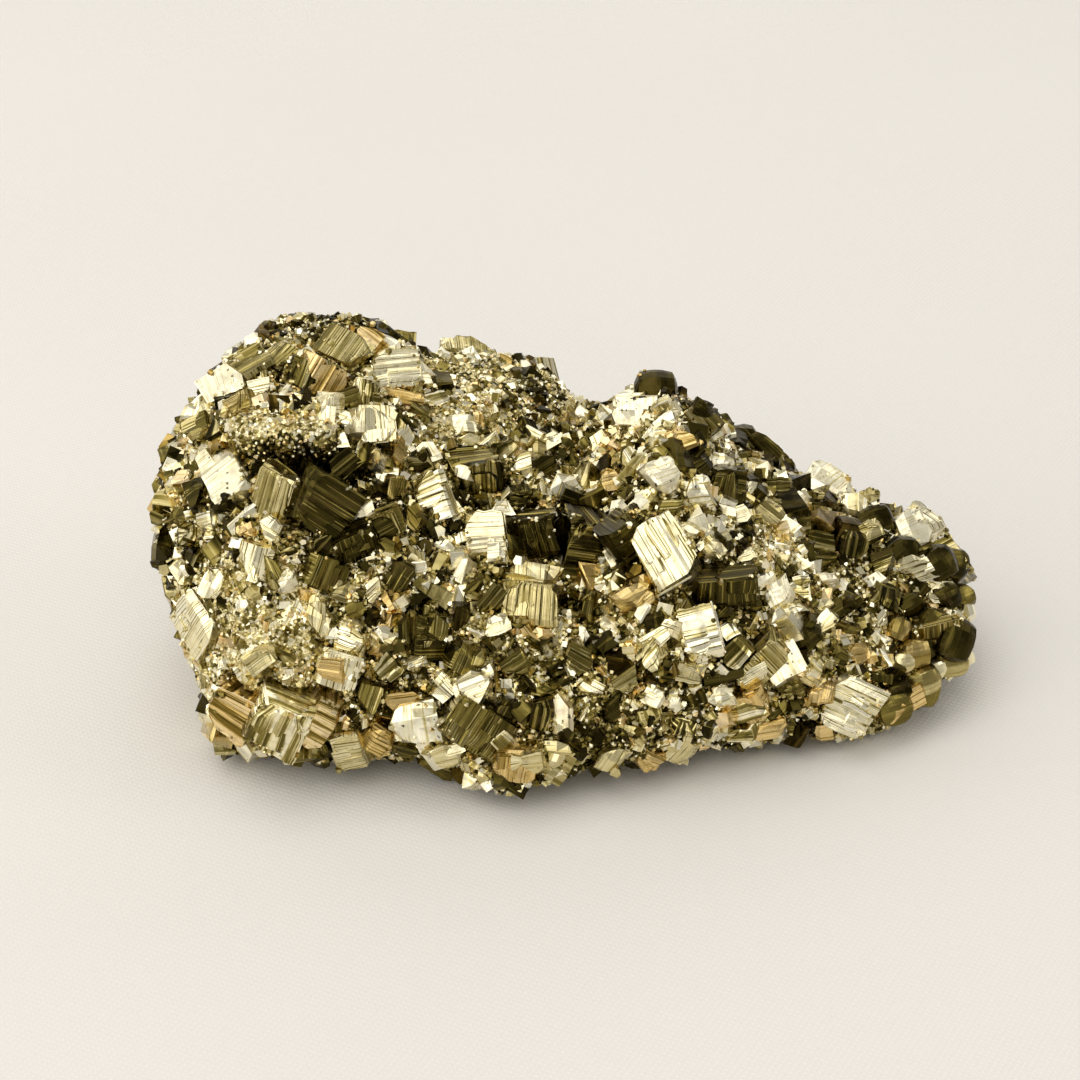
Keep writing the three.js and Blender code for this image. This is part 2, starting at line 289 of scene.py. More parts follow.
@dataclass(frozen=True)
class Habit:
    """How a crystal's faces are stepped, and how its block is bent out of true.

    Flat strips alternate with strips that slope and with low risers. Each cut takes off an edge or a
    corner, taper and shear put the block out of square, and bulge rounds it, from 0 to 1. Lengths are
    in millimetres.
    """

    strip: float = 0.42
    relief: float = 0.16
    slope: float = math.radians(26.6)  # as a pyritohedron's faces slope from a cube's
    most_strips: int = 22
    cuts: int = 7
    cut_depth: float = 0.24
    taper: float = 0.07
    shear: float = 0.0
    bulge: float = 0.0

    def profile(self, length: float, rng: np.random.Generator) -> tuple[np.ndarray, np.ndarray]:
        """A stepped profile across a face.

        Args:
            length: The face's width.
            rng: The source of random numbers.

        Returns:
            The places of the strips' edges, from minus to plus half the length, and their heights.
        """
        count = int(np.clip(round(length / self.strip), 2, self.most_strips))
        widths, rises = [], []
        height = 0.0
        for _ in range(count):
            kind = rng.random()
            towards = -1.0 if height > rng.uniform(-self.relief, self.relief) else 1.0
            if kind < FLAT_SHARE:
                width, rise = rng.uniform(*FLAT_WIDTHS), 0.0
            elif kind < FLAT_SHARE + SLOPED_SHARE:
                width = rng.uniform(*SLOPED_WIDTHS)
                rise = towards * width * self.strip * math.tan(self.slope)
            else:
                width, rise = RISER_WIDTH, towards * self.relief * rng.uniform(*RISER_HEIGHTS)
            widths.append(width)
            rises.append(rise)
            height += rise
        places = np.concatenate([[0], np.cumsum(widths)])
        heights = np.concatenate([[0], np.cumsum(rises)])
        heights -= heights.mean()
        return places / places[-1] * length - length / 2, np.clip(heights, -self.relief, self.relief)

    def block(
        self, half: np.ndarray, rng: np.random.Generator
    ) -> tuple[np.ndarray, np.ndarray, np.ndarray]:
        """A closed block with striae along X on its Z faces, along Y on X and along Z on Y.

        Args:
            half: Its half sizes, in millimetres.
            rng: The source of random numbers.

        Returns:
            Its vertices in millimetres, its quads, and four UV pairs for each quad.
        """
        profiles = [self.profile(2 * size, rng) for size in half]
        lines = [places for places, _ in profiles]
        counts = [len(places) - 1 for places in lines]
        cells, quads, facing = lattice_shell(counts)
        rest = np.stack([lines[axis][cells[:, axis]] for axis in range(3)], axis=1)
        points = rest.copy()
        for axis in range(3):
            across = (axis + 2) % 3  # a face's striae run along the next axis, and step across this one
            heights = profiles[across][1]
            for end, sign in ((0, -1), (counts[axis], 1)):
                on_face = cells[:, axis] == end
                flipped = heights if sign > 0 else -heights[::-1]
                points[on_face, axis] += sign * flipped[cells[on_face, across]]
        for axis in range(3):
            along = (axis + rng.integers(1, 3)) % 3
            points[:, axis] *= 1 + rng.uniform(-self.taper, self.taper) * rest[:, along] / half[along]
            points[:, axis] += rng.uniform(-self.shear, self.shear) * rest[:, (axis + 1) % 3]
        for _ in range(self.cuts):
            corner = rng.choice([-1.0, 0.0, 1.0], 3, p=CUT_CHANCES)
            if np.count_nonzero(corner) < 2:
                continue
            outward = corner * rng.uniform(0.5, 1.0, 3)
            outward /= np.linalg.norm(outward)
            limit = np.abs(outward) @ half * (1 - self.cut_depth * rng.random() ** 2)
            beyond = np.maximum(points @ outward - limit, 0)
            points -= beyond[:, None] * outward
        ball = points / (np.linalg.norm(points / half, axis=1)[:, None] / BALL_SHARE)
        points += self.bulge * (ball - points)
        uvs = np.zeros((len(quads), 4, 2))
        for axis in range(3):
            rows = facing == axis
            corners = rest[quads[rows]]
            uvs[rows] = np.stack([corners[:, :, (axis + 1) % 3], corners[:, :, (axis + 2) % 3]], axis=2)
        return points, quads, uvs


def turned(axes: np.ndarray, rng: np.random.Generator, most: float) -> np.ndarray:
    """Edge directions turned a little, about a random axis.

    Args:
        axes: The directions, as rows.
        rng: The source of random numbers.
        most: The largest turn, in degrees.

    Returns:
        The turned directions, as rows.
    """
    turn = Quaternion(Vector(rng.normal(size=3)), math.radians(rng.uniform(-most, most))).to_matrix()
    return axes @ np.array(turn).T


TWIN_SIZES = (0.3, 0.8)  # the least and most size of a twin, next to its crystal's
TWIN_STEPS = (-0.35, 0.22)  # how far below and above its crystal's faces it stands, in millimetres
TWIN_TURN = 4  # the most that it is turned, in degrees
TWIN_SHADE = 0.14  # the most that its shade differs
MOST_SEED = 50  # the largest number that sets a crystal's own pattern


def grow(
    shards: Shards, seat: Seat, habit: Habit, tone: Tone, rng: np.random.Generator, twins: int
) -> None:
    """Grows one crystal: a main block, and smaller blocks that stand a step proud of it.

    Args:
        shards: What the blocks are added to.
        seat: The crystal's place and size.
        habit: Its stepping.
        tone: Its tone.
        rng: The source of random numbers.
        twins: How many smaller blocks it has.
    """
    half = seat.half / MM
    seed = rng.uniform(0, MOST_SEED)
    points, quads, uvs = habit.block(half, rng)
    shards.add(points * MM @ seat.axes + seat.middle, quads, uvs, tone.value, seed)
    for _ in range(twins):
        small = half * rng.uniform(*TWIN_SIZES, 3)
        step = rng.uniform(*TWIN_STEPS, 3)
        middle = rng.choice([-1.0, 1.0], 3) * (half - small + step)
        points, quads, uvs = habit.block(small, rng)
        axes = turned(seat.axes, rng, TWIN_TURN)
        shade = float(np.clip(tone.value + rng.uniform(-TWIN_SHADE, TWIN_SHADE), 0, 1))
        shards.add(points * MM @ axes + seat.middle + middle * MM @ seat.axes, quads, uvs, shade, seed)


# ---- Node sheets and finishes ----


class Sheet:
    """Adds nodes to one node tree, and links them."""

    def __init__(self, tree: bpy.types.NodeTree) -> None:
        """Starts on an empty tree."""
        self.tree = tree
        tree.nodes.clear()

    def fill(self, node: bpy.types.Node, inputs: dict) -> None:
        """Sets a node's sockets, by name or number, each to a value or a link from another socket."""
        for key, value in inputs.items():
            if isinstance(value, bpy.types.NodeSocket):
                self.tree.links.new(value, node.inputs[key])
            else:
                node.inputs[key].default_value = value

    def add(self, kind: str, inputs: dict | None = None, **settings: object) -> bpy.types.Node:
        """Adds a node.

        Args:
            kind: The node's type.
            inputs: Its sockets by name or number, each with a value or a socket to link from.
            **settings: Its other settings.

        Returns:
            The node.
        """
        node = self.tree.nodes.new(kind)
        for key, value in settings.items():
            setattr(node, key, value)
        self.fill(node, inputs or {})
        return node

    def math(self, operation: str, *values: object, clamp: bool = False) -> bpy.types.NodeSocket:
        """A math node on up to three values or sockets, and its result."""
        node = self.add("ShaderNodeMath", dict(enumerate(values)), operation=operation, use_clamp=clamp)
        return node.outputs[0]

    def remap(
        self, value: object, low: float, high: float, to_low: float = 0.0, to_high: float = 1.0
    ) -> bpy.types.NodeSocket:
        """A value taken from one range to another, and held inside it."""
        node = self.add("ShaderNodeMapRange", {0: value, 1: low, 2: high, 3: to_low, 4: to_high})
        return node.outputs[0]

    def mix(
        self, share: object, first: object, second: object, blend: str = "MIX"
    ) -> bpy.types.NodeSocket:
        """A colour between two others, and its socket."""
        inputs = {0: share, 6: first, 7: second}
        return self.add("ShaderNodeMix", inputs, data_type="RGBA", blend_type=blend).outputs[2]

    def noise(
        self, vector: bpy.types.NodeSocket, scale: object, detail: float, roughness: float = 0.5
    ) -> bpy.types.Node:
        """A noise texture."""
        inputs = {"Vector": vector, "Scale": scale, "Detail": detail, "Roughness": roughness}
        return self.add("ShaderNodeTexNoise", inputs)

    def bump(
        self, height: bpy.types.NodeSocket, strength: float, distance: float, normal: object = None
    ) -> bpy.types.NodeSocket:
        """The normal of a height, over another normal if there is one. The distance is in metres."""
        inputs = {"Strength": strength, "Distance": distance, "Height": height}
        if normal is not None:
            inputs["Normal"] = normal
        return self.add("ShaderNodeBump", inputs).outputs[0]


def new_material(name: str) -> tuple[bpy.types.Material, Sheet]:
    """A new material and its empty sheet."""
    material = bpy.data.materials.new(name)
    material.use_nodes = True
    return material, Sheet(material.node_tree)


def shader_group(name: str, inputs: dict[str, float | None], outputs: Iterable[str]) -> tuple:
    """A new shader node group with named sockets.

    Args:
        name: The group's name.
        inputs: Each input's name, with its default, or with None for a vector.
        outputs: The names of its outputs, which are all single values.

    Returns:
        The group's tree, its sheet, its input node's sockets by name, and its output node.
    """
    tree = bpy.data.node_groups.new(name, "ShaderNodeTree")
    for label, default in inputs.items():
        kind = "NodeSocketVector" if default is None else "NodeSocketFloat"
        socket = tree.interface.new_socket(name=label, in_out="INPUT", socket_type=kind)
        if default is not None:
            socket.default_value = default
    for label in outputs:
        tree.interface.new_socket(name=label, in_out="OUTPUT", socket_type="NodeSocketFloat")
    sheet = Sheet(tree)
    return tree, sheet, sheet.add("NodeGroupInput").outputs, sheet.add("NodeGroupOutput")


# How fast the fine lines, the broad bands and the patches where lines show change along and across a face.
FINE_RATES, BROAD_RATES, SHOWN_RATES = (0.07, 1.0), (0.05, 0.2), (0.35, 0.12)
# The noise values that each mask rises between, and what it rises from and to where that isn't 0 and 1.
# The pale lines are painted glints of the stepped striae, and the dark lines are painted shade on them.
PAINTED_GLINT_LINES, PAINTED_SHADE_LINES = (0.59, 0.62), (0.43, 0.39)
SHOWN, BANDS = (0.36, 0.52, 0.25, 1.0), (0.43, 0.57, -1.0, 1.0)
BROAD_HEIGHT = 0.8  # how high the broad bands stand, next to the fine lines


def striae_group() -> bpy.types.NodeTree:
    """The fine lines along a face: a height, masks of its pale lines, which are painted glints, and of its
    dark lines, which are painted shade, and its broad bands.
    """
    tree, sheet, given, made = shader_group(
        "striae",
        {"Along": 0.0, "Across": 0.0, "Seed": 0.0, "Lines": 3.0},
        ("Height", "Pale Lines", "Dark Lines", "Bands"),
    )
    lined = sheet.math("MULTIPLY", given["Across"], given["Lines"])

    def streaks(along_rate: float, across_rate: float) -> bpy.types.NodeSocket:
        """Noise drawn out along the face."""
        long_way = sheet.math("MULTIPLY", given["Along"], along_rate)
        cross_way = sheet.math("MULTIPLY", lined, across_rate)
        place = sheet.add("ShaderNodeCombineXYZ", {0: long_way, 1: cross_way, 2: given["Seed"]})
        return sheet.noise(place.outputs[0], 1.0, 1.0, 0.55).outputs[0]

    fine, broad = streaks(*FINE_RATES), streaks(*BROAD_RATES)
    shown = sheet.remap(streaks(*SHOWN_RATES), *SHOWN)
    results = {
        "Height": sheet.math("MULTIPLY_ADD", broad, BROAD_HEIGHT, fine),
        "Pale Lines": sheet.math("MULTIPLY", sheet.remap(fine, *PAINTED_GLINT_LINES), shown),
        "Dark Lines": sheet.math("MULTIPLY", sheet.remap(fine, *PAINTED_SHADE_LINES), shown),
        "Bands": sheet.remap(broad, *BANDS),
    }
    sheet.fill(made, results)
    return tree


JITTER_SCALE, JITTER = 3200.0, 0.0006  # how fine and how far, in metres, the pits' places are shaken
WAVE_SCALE, WAVE_DEPTH = 320.0, 0.0003  # how fine and how deep, in metres, a face's slow waves are
RAGGED = 0.9  # how far the patches eat into the pits' edges
# The values that the tarnish, a pit's hollow and the chance that a pit is there rise between.
TARNISHED, HOLLOW, PITTED = (0.5, 0.68), (0.74, 0.66), (0.74, 0.8)


def weathering_group() -> bpy.types.NodeTree:
    """Tarnish patches, ragged pits and slow undulation over a surface, from Object coordinates."""
    tree, sheet, given, made = shader_group(
        "weathering",
        {"Vector": None, "Patch Scale": 500.0, "Pit Scale": 1500.0},
        ("Tarnish", "Pits", "Undulation"),
    )
    vector = given["Vector"]
    patch = sheet.noise(vector, given["Patch Scale"], 5.0, 0.65).outputs[0]
    shift = {0: sheet.noise(vector, JITTER_SCALE, 2.0).outputs["Color"], 1: (JITTER,) * 3, 2: vector}
    shaken = sheet.add("ShaderNodeVectorMath", shift, operation="MULTIPLY_ADD").outputs[0]
    pit = sheet.add("ShaderNodeTexVoronoi", {"Vector": shaken, "Scale": given["Pit Scale"]}).outputs
    chance = sheet.add("ShaderNodeSeparateColor", {0: pit["Color"]}).outputs[0]
    ragged = sheet.math("MULTIPLY_ADD", patch, RAGGED, pit["Distance"])
    hollow = sheet.remap(ragged, *HOLLOW)
    results = {
        "Tarnish": sheet.remap(patch, *TARNISHED),
        "Pits": sheet.math("MULTIPLY", hollow, sheet.remap(chance, *PITTED)),
        "Undulation": sheet.noise(vector, WAVE_SCALE, 1.0).outputs[0],
    }
    sheet.fill(made, results)
    return tree


@dataclass(frozen=True)
class PyriteFinish:
    """Striated or granular pyrite, shaded by the surface's own attributes.

    Colours are linear, and the ramp of shades runs from dark to pale: partly from tarnished to fresh, and
    partly painted reflection, for facets that would mirror dark or bright surroundings. Distances are in
    metres.
    Seed keys turn a crystal's seed into the chance that picks it.
    """

    name: str
    shades: tuple[tuple[float, tuple[float, float, float]], ...] = (
        (0.0, (0.020, 0.016, 0.004)),
        (0.2, (0.079, 0.063, 0.013)),
        (0.4, (0.252, 0.202, 0.050)),
        (0.6, (0.670, 0.575, 0.275)),
        (0.8, (0.930, 0.850, 0.545)),
        (1.0, (0.980, 0.930, 0.715)),
    )
    brown: tuple[float, float, float] = (0.95, 0.79, 0.58)
    brown_share: float = 0.14
    brown_blend: float = 0.05
    brown_key: float = 7.31
    tarnish: tuple[float, float, float] = (0.14, 0.095, 0.035)
    tarnish_share: float = 0.3
    pit: tuple[float, float, float] = (0.05, 0.035, 0.015)
    pit_scale: float = 1500.0
    pit_share: float = 0.3
    lines: float = 5.0
    line_strength: float = 0.66
    line_depth: float = 0.00003
    stripe_swing: float = 0.3
    plain_swing: float = 0.06
    plain_share: float = 0.73
    stripe_blend: float = 0.01
    stripe_key: float = 3.7
    grain_scale: float = 0.0
    grain_contrast: float = 0.8
    grain_depth: float = 0.3
    roughness: float = 0.24
    roughness_spread: float = 0.2

    def material(self, groups: dict[str, bpy.types.NodeTree]) -> bpy.types.Material:
        """Builds the finish.

        Args:
            groups: The shared node groups, by name.

        Returns:
            The material.
        """
        material, sheet = new_material(self.name)
        place = sheet.add("ShaderNodeTexCoord").outputs["Object"]
        uv = sheet.add("ShaderNodeUVMap", uv_map="striae").outputs[0]
        along, across = sheet.add("ShaderNodeSeparateXYZ", {0: uv}).outputs[:2]
        seed = sheet.add("ShaderNodeAttribute", attribute_name="seed").outputs["Fac"]
        lines = {"Along": along, "Across": across, "Seed": seed, "Lines": self.lines}
        striae = sheet.add("ShaderNodeGroup", lines, node_tree=groups["striae"]).outputs
        spots = {"Vector": place, "Pit Scale": self.pit_scale}
        weather = sheet.add("ShaderNodeGroup", spots, node_tree=groups["weathering"]).outputs
        shade = sheet.add("ShaderNodeAttribute", attribute_name="shade").outputs["Fac"]
        normal = sheet.bump(striae["Height"], 0.6, self.line_depth)
        normal = sheet.bump(weather["Undulation"], 0.5, WAVE_DEPTH, normal)
        if self.grain_scale:
            grains = sheet.add("ShaderNodeTexVoronoi", {"Vector": place, "Scale": self.grain_scale}).outputs
            own = sheet.add("ShaderNodeSeparateColor", {0: grains["Color"]}).outputs[0]
            half = self.grain_contrast / 2
            shade = sheet.math("ADD", shade, sheet.remap(own, 0.0, 1.0, -half, half))
            domes = sheet.remap(grains["Distance"], 0.0, 0.6, 1.0, 0.0)
            normal = sheet.bump(domes, 1.0, self.grain_depth / self.grain_scale, normal)
        rough = sheet.math(
            "MULTIPLY_ADD", weather["Tarnish"], self.roughness_spread, self.roughness, clamp=True
        )
        colour = self._colour(sheet, self._lined(sheet, shade, seed, striae), seed, weather)
        inputs = {"Base Color": colour, "Metallic": 1.0, "Roughness": rough, "Normal": normal}
        shader = sheet.add("ShaderNodeBsdfPrincipled", inputs)
        sheet.add("ShaderNodeOutputMaterial", {0: shader.outputs[0]})
        return material

    def _lined(
        self,
        sheet: Sheet,
        shade: bpy.types.NodeSocket,
        seed: bpy.types.NodeSocket,
        striae: bpy.types.bpy_prop_collection,
    ) -> bpy.types.NodeSocket:
        """The shade with broad bands, and with pale lines where it is dark and dark lines where it is pale:
        painted glints and painted shade of the stepped striae, put into the colour.

        Args:
            sheet: The material's sheet.
            shade: The crystal's own shade.
            seed: The crystal's own seed, which also picks the few crystals with strong stripes.
            striae: What the group of lines puts out.

        Returns:
            The shade to look up.
        """
        chance = sheet.math("FRACT", sheet.math("MULTIPLY", seed, self.stripe_key))
        low, high = self.plain_share - self.stripe_blend, self.plain_share + self.stripe_blend
        swing = sheet.remap(chance, low, high, self.plain_swing, self.stripe_swing)
        banded = sheet.math("MULTIPLY_ADD", striae["Bands"], swing, shade)
        # Painted glints lift dark faces along the pale lines, and painted shade drops pale faces along the
        # dark lines.
        halfway_to_pale = sheet.math("MULTIPLY_ADD", shade, 0.5, 0.5)
        difference = sheet.math("SUBTRACT", halfway_to_pale, banded)
        lift = sheet.math("MULTIPLY", difference, self.line_strength)
        lifted = sheet.math("MULTIPLY_ADD", striae["Pale Lines"], lift, banded)
        drop = sheet.math("MULTIPLY", lifted, -self.line_strength)
        return sheet.math("MULTIPLY_ADD", striae["Dark Lines"], drop, lifted, clamp=True)

    def _colour(
        self,
        sheet: Sheet,
        shade: bpy.types.NodeSocket,
        seed: bpy.types.NodeSocket,
        weather: bpy.types.bpy_prop_collection,
    ) -> bpy.types.NodeSocket:
        """The colour of a shade, browned on some crystals, and stained and pitted.

        Args:
            sheet: The material's sheet.
            shade: The shade to look up.
            seed: The crystal's own seed, which picks the ones that are warm and brown.
            weather: What the group of weathering puts out.

        Returns:
            The colour.
        """
        ramp = sheet.add("ShaderNodeValToRGB", {0: shade})
        elements = ramp.color_ramp.elements
        for number, (position, colour) in enumerate(self.shades):
            element = elements[number] if number < len(elements) else elements.new(position)
            element.position, element.color = position, (*colour, 1)
        chance = sheet.math("FRACT", sheet.math("MULTIPLY", seed, self.brown_key))
        middle = 1 - self.brown_share
        browned = sheet.remap(chance, middle - self.brown_blend, middle + self.brown_blend)
        colour = sheet.mix(browned, ramp.outputs[0], (*self.brown, 1), "MULTIPLY")
        stained = sheet.math("MULTIPLY", weather["Tarnish"], self.tarnish_share)
        colour = sheet.mix(stained, colour, (*self.tarnish, 1))
        pitted = sheet.math("MULTIPLY", weather["Pits"], self.pit_share)
        return sheet.mix(pitted, colour, (*self.pit, 1))


WAVE_PERIOD = 0.314  # the width of one wave of a wave texture at a scale of 1, in metres


@dataclass(frozen=True)
class ClothFinish:
    """The plain pale floor, of fine woven cloth. The thread's width is in metres."""

    name: str = "pale_floor"
    colour: tuple[float, float, float] = (0.858, 0.836, 0.802)
    thread: float = 0.00066
    turn: float = math.radians(28)

    def material(self) -> bpy.types.Material:
        """Builds the finish.

        Returns:
            The material.
        """
        material, sheet = new_material(self.name)
        place = sheet.add("ShaderNodeTexCoord").outputs["Object"]
        mapping = sheet.add("ShaderNodeMapping", {"Vector": place, "Rotation": (0, 0, self.turn)})
        threads = {
            "Vector": mapping.outputs[0],
            "Scale": WAVE_PERIOD / self.thread,
            "Distortion": 0.6,
            "Detail": 1.0,
        }
        warp = sheet.add("ShaderNodeTexWave", threads, bands_direction="X").outputs["Fac"]
        weft = sheet.add("ShaderNodeTexWave", threads, bands_direction="Y").outputs["Fac"]
        weave = sheet.math("MULTIPLY", warp, weft)
        slow = sheet.noise(place, 6.0, 2.0).outputs[0]
        colour = sheet.mix(sheet.remap(slow, 0.3, 0.7), self._dimmed(0.95), self._dimmed(1))
        colour = sheet.mix(sheet.remap(weave, 0.7, 0.2, 0.0, 0.5), colour, self._dimmed(0.93))
        normal = sheet.bump(weave, 0.3, 0.0001)
        inputs = {"Base Color": colour, "Roughness": 0.85, "Specular IOR Level": 0.2, "Normal": normal}
        shader = sheet.add("ShaderNodeBsdfPrincipled", inputs)
        sheet.add("ShaderNodeOutputMaterial", {0: shader.outputs[0]})
        return material

    def _dimmed(self, share: float) -> tuple[float, float, float, float]:
        """A share of the cloth's colour."""
        return *(share * part for part in self.colour), 1


# ---- Helpers for pieces ----


def placed(name: str, data: bpy.types.ID) -> bpy.types.Object:
    """A new object in the scene, with its mesh, light or camera."""
    thing = bpy.data.objects.new(name, data)
    bpy.context.scene.collection.objects.link(thing)
    return thing


def new_piece(mesh: bpy.types.Mesh, material: bpy.types.Material) -> bpy.types.Object:
    """Makes a piece of the object from a finished mesh.

    Args:
        mesh: The mesh, in place.
        material: Its finish.

    Returns:
        The piece.
    """
    mesh.materials.clear()
    mesh.materials.append(material)
    piece = placed(mesh.name, mesh)
    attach(piece, BODY)
    return piece


def evaluated_mesh(host: bpy.types.Object, name: str) -> bpy.types.Mesh:
    """A host's mesh with its modifiers applied, as new data."""
    graph = bpy.context.evaluated_depsgraph_get()
    mesh = bpy.data.meshes.new_from_object(host.evaluated_get(graph), depsgraph=graph)
    mesh.name = name
    return mesh


def write_values(mesh: bpy.types.Mesh, values: dict[str, np.ndarray]) -> None:
    """Writes named values on a mesh's vertices."""
    for key, numbers in values.items():
        attribute = mesh.attributes.new(key, "FLOAT", "POINT")
        attribute.data.foreach_set("value", numbers.astype(np.float32))


def joined_mesh(meshes: Iterable[bpy.types.Mesh]) -> bpy.types.Mesh:
    """The faces of several meshes in one new mesh."""
    points, faces, count = [], [], 0
    for mesh in meshes:
        points.append(mesh_points(mesh))
        faces += [[count + corner for corner in face.vertices] for face in mesh.polygons]
        count += len(mesh.vertices)
    joined = bpy.data.meshes.new("joined")
    joined.from_pydata(np.concatenate(points).tolist(), [], faces)
    return joined


def mesh_normals(mesh: bpy.types.Mesh) -> np.ndarray:
    """A mesh's vertex normals as an N by 3 array."""
    normals = np.zeros(len(mesh.vertices) * 3, np.float32)
    mesh.vertex_normals.foreach_get("vector", normals)
    return normals.reshape(-1, 3).astype(float)


def mesh_points(mesh: bpy.types.Mesh) -> np.ndarray:
    """A mesh's vertices as an N by 3 array."""
    points = np.zeros(len(mesh.vertices) * 3, np.float32)
    mesh.vertices.foreach_get("co", points)
    return points.reshape(-1, 3).astype(float)


# ---- The large crystals, one for each CAD crystal ----


LARGE_SEEDS, SET_SEEDS, BLOCK_SEEDS, CHIP_SEEDS = 1000, 5000, 300, 400  # the first random seed of each kind
SAME_WAY = 0.9995  # two faces face the same way when the cosine between them is above this
SQUARE_ON = 0.02  # and they are square to each other when it is below this
SMALLEST_FACE = 1e-10  # a triangle with less than half this area, in square metres, is left out
WIDEST_FACES = 24  # how many triangles are tried for a crystal's main direction
LEVEL = 0.04  # faces less than about this far apart, in millimetres, are on one growth step


@dataclass
class LargeCrystals:
    """The large crystals: each one a striated block that stands for its own CAD node.

    A white crystal has the wider, lower strips of the smooth habit, and a rounded one has no twins.
    """

    habit: Habit = Habit(cuts=14, cut_depth=0.36, taper=0.16, shear=0.1)
    smooth: Habit = Habit(strip=1.1, relief=0.05, cuts=14, cut_depth=0.36, taper=0.16, shear=0.1)
    rounded: Habit = Habit(strip=0.45, relief=0.02, cuts=20, cut_depth=0.3, bulge=0.65)
    grown: float = 0.1  # how far a block reaches past its CAD node on every side, in millimetres
    twins: int = 4
    seats: dict[str, Seat] = field(default_factory=dict)
    surfaces: list[bpy.types.Mesh] = field(default_factory=list)

    def read(self, nodes: dict[str, bpy.types.Object]) -> None:
        """Finds each CAD crystal's seat from its mesh.

        Args:
            nodes: The CAD nodes, by name.
        """
        for name, node in nodes.items():
            if name != LUMP:
                self.seats[name] = self._seat(node.data)

    def build(self, materials: dict[str, bpy.types.Material]) -> None:
        """Makes the pieces.

        Args:
            materials: The finishes, by name.
        """
        for number, (name, seat) in enumerate(sorted(self.seats.items())):
            rng = np.random.default_rng(LARGE_SEEDS + number)
            region, place = name.split("_crystal_")
            tone = TONE_LETTERS[LARGE_TONES[region][int(place) - 1]]
            shards = Shards()
            if name in ROUNDED:
                finish = "smooth"
                grow(shards, seat, self.rounded, tone, rng, twins=0)
            else:
                finish = tone.finish
                grow(shards, seat, self.smooth if tone is Tone.WHITE else self.habit, tone, rng, self.twins)
            piece = new_piece(shards.mesh(f"{name}_striated"), materials[finish])
            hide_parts(name)
            self.surfaces.append(piece.data)
        log.info("large crystals: %d", len(self.seats))

    def _seat(self, mesh: bpy.types.Mesh) -> Seat:
        """Recovers a block's edge directions and size.

        Args:
            mesh: The CAD crystal's loose triangles.

        Returns:
            Its seat, with X along its long edge.
        """
        mesh.calc_loop_triangles()
        points = mesh_points(mesh)
        corners = points[np.array([triangle.vertices[:] for triangle in mesh.loop_triangles])]
        normals = np.cross(corners[:, 1] - corners[:, 0], corners[:, 2] - corners[:, 0])
        areas = np.linalg.norm(normals, axis=1)
        kept = areas > SMALLEST_FACE
        normals, areas, corners = normals[kept] / areas[kept, None], areas[kept], corners[kept]
        first = self._main_direction(normals, areas)
        sideways = np.abs(normals @ first) < SQUARE_ON
        second = self._main_direction(normals[sideways], areas[sideways])
        second = second - first * (first @ second)
        second /= np.linalg.norm(second)
        axes = np.stack([first, second, np.cross(first, second)])
        steps = []
        for axis in axes:
            flat = np.abs(normals @ axis) > SAME_WAY
            steps.append(len(np.unique(np.round(corners[flat].mean(axis=1) @ axis / (LEVEL * MM)))))
        axes = np.roll(axes, -int(np.argmin(steps)), axis=0)
        local = points @ axes.T
        low, high = local.min(axis=0), local.max(axis=0)
        half = (high - low) / 2 + self.grown * MM
        return Seat(axes.T @ ((low + high) / 2), axes, half)

    @staticmethod
    def _main_direction(normals: np.ndarray, areas: np.ndarray) -> np.ndarray:
        """The direction that the most area faces, either way.

        Args:
            normals: Unit normals, as rows.
            areas: The area of each.

        Returns:
            The direction.
        """
        candidates = normals[np.argsort(-areas)[:WIDEST_FACES]]
        facing = np.abs(candidates @ normals.T) > SAME_WAY
        return candidates[int(np.argmax(facing @ areas))].copy()


# ---- The lump ----


@dataclass(frozen=True)
class Zone:
    """A patch of the display side, on the sight plane, and what grows there.

    Right, rise, wide and high give its middle and half sizes. Coarse and grain scale how many coarse crystals
    grow and how large the druse is, shade makes it paler or darker, and swell raises the lump. The shade is
    the patch's own tone, except for the painted light on the ledge's top, the painted shade under the ledge
    and in its hollow, and the painted reflection on the plateau. Lengths are in millimetres.
    """

    right: float
    rise: float
    wide: float
    high: float
    coarse: float
    grain: float
    shade: float
    swell: float = 0.0

    def weight(self, layout: np.ndarray) -> np.ndarray:
        """How far each laid out point is in the patch, from 0 to 1."""
        away = ((layout - (self.right, self.rise)) / (self.wide, self.high)) ** 2
        return np.clip(1.6 - 1.2 * away.sum(axis=1), 0, 1)  # 1 over the inner 0.7, and 0 from 1.15 out


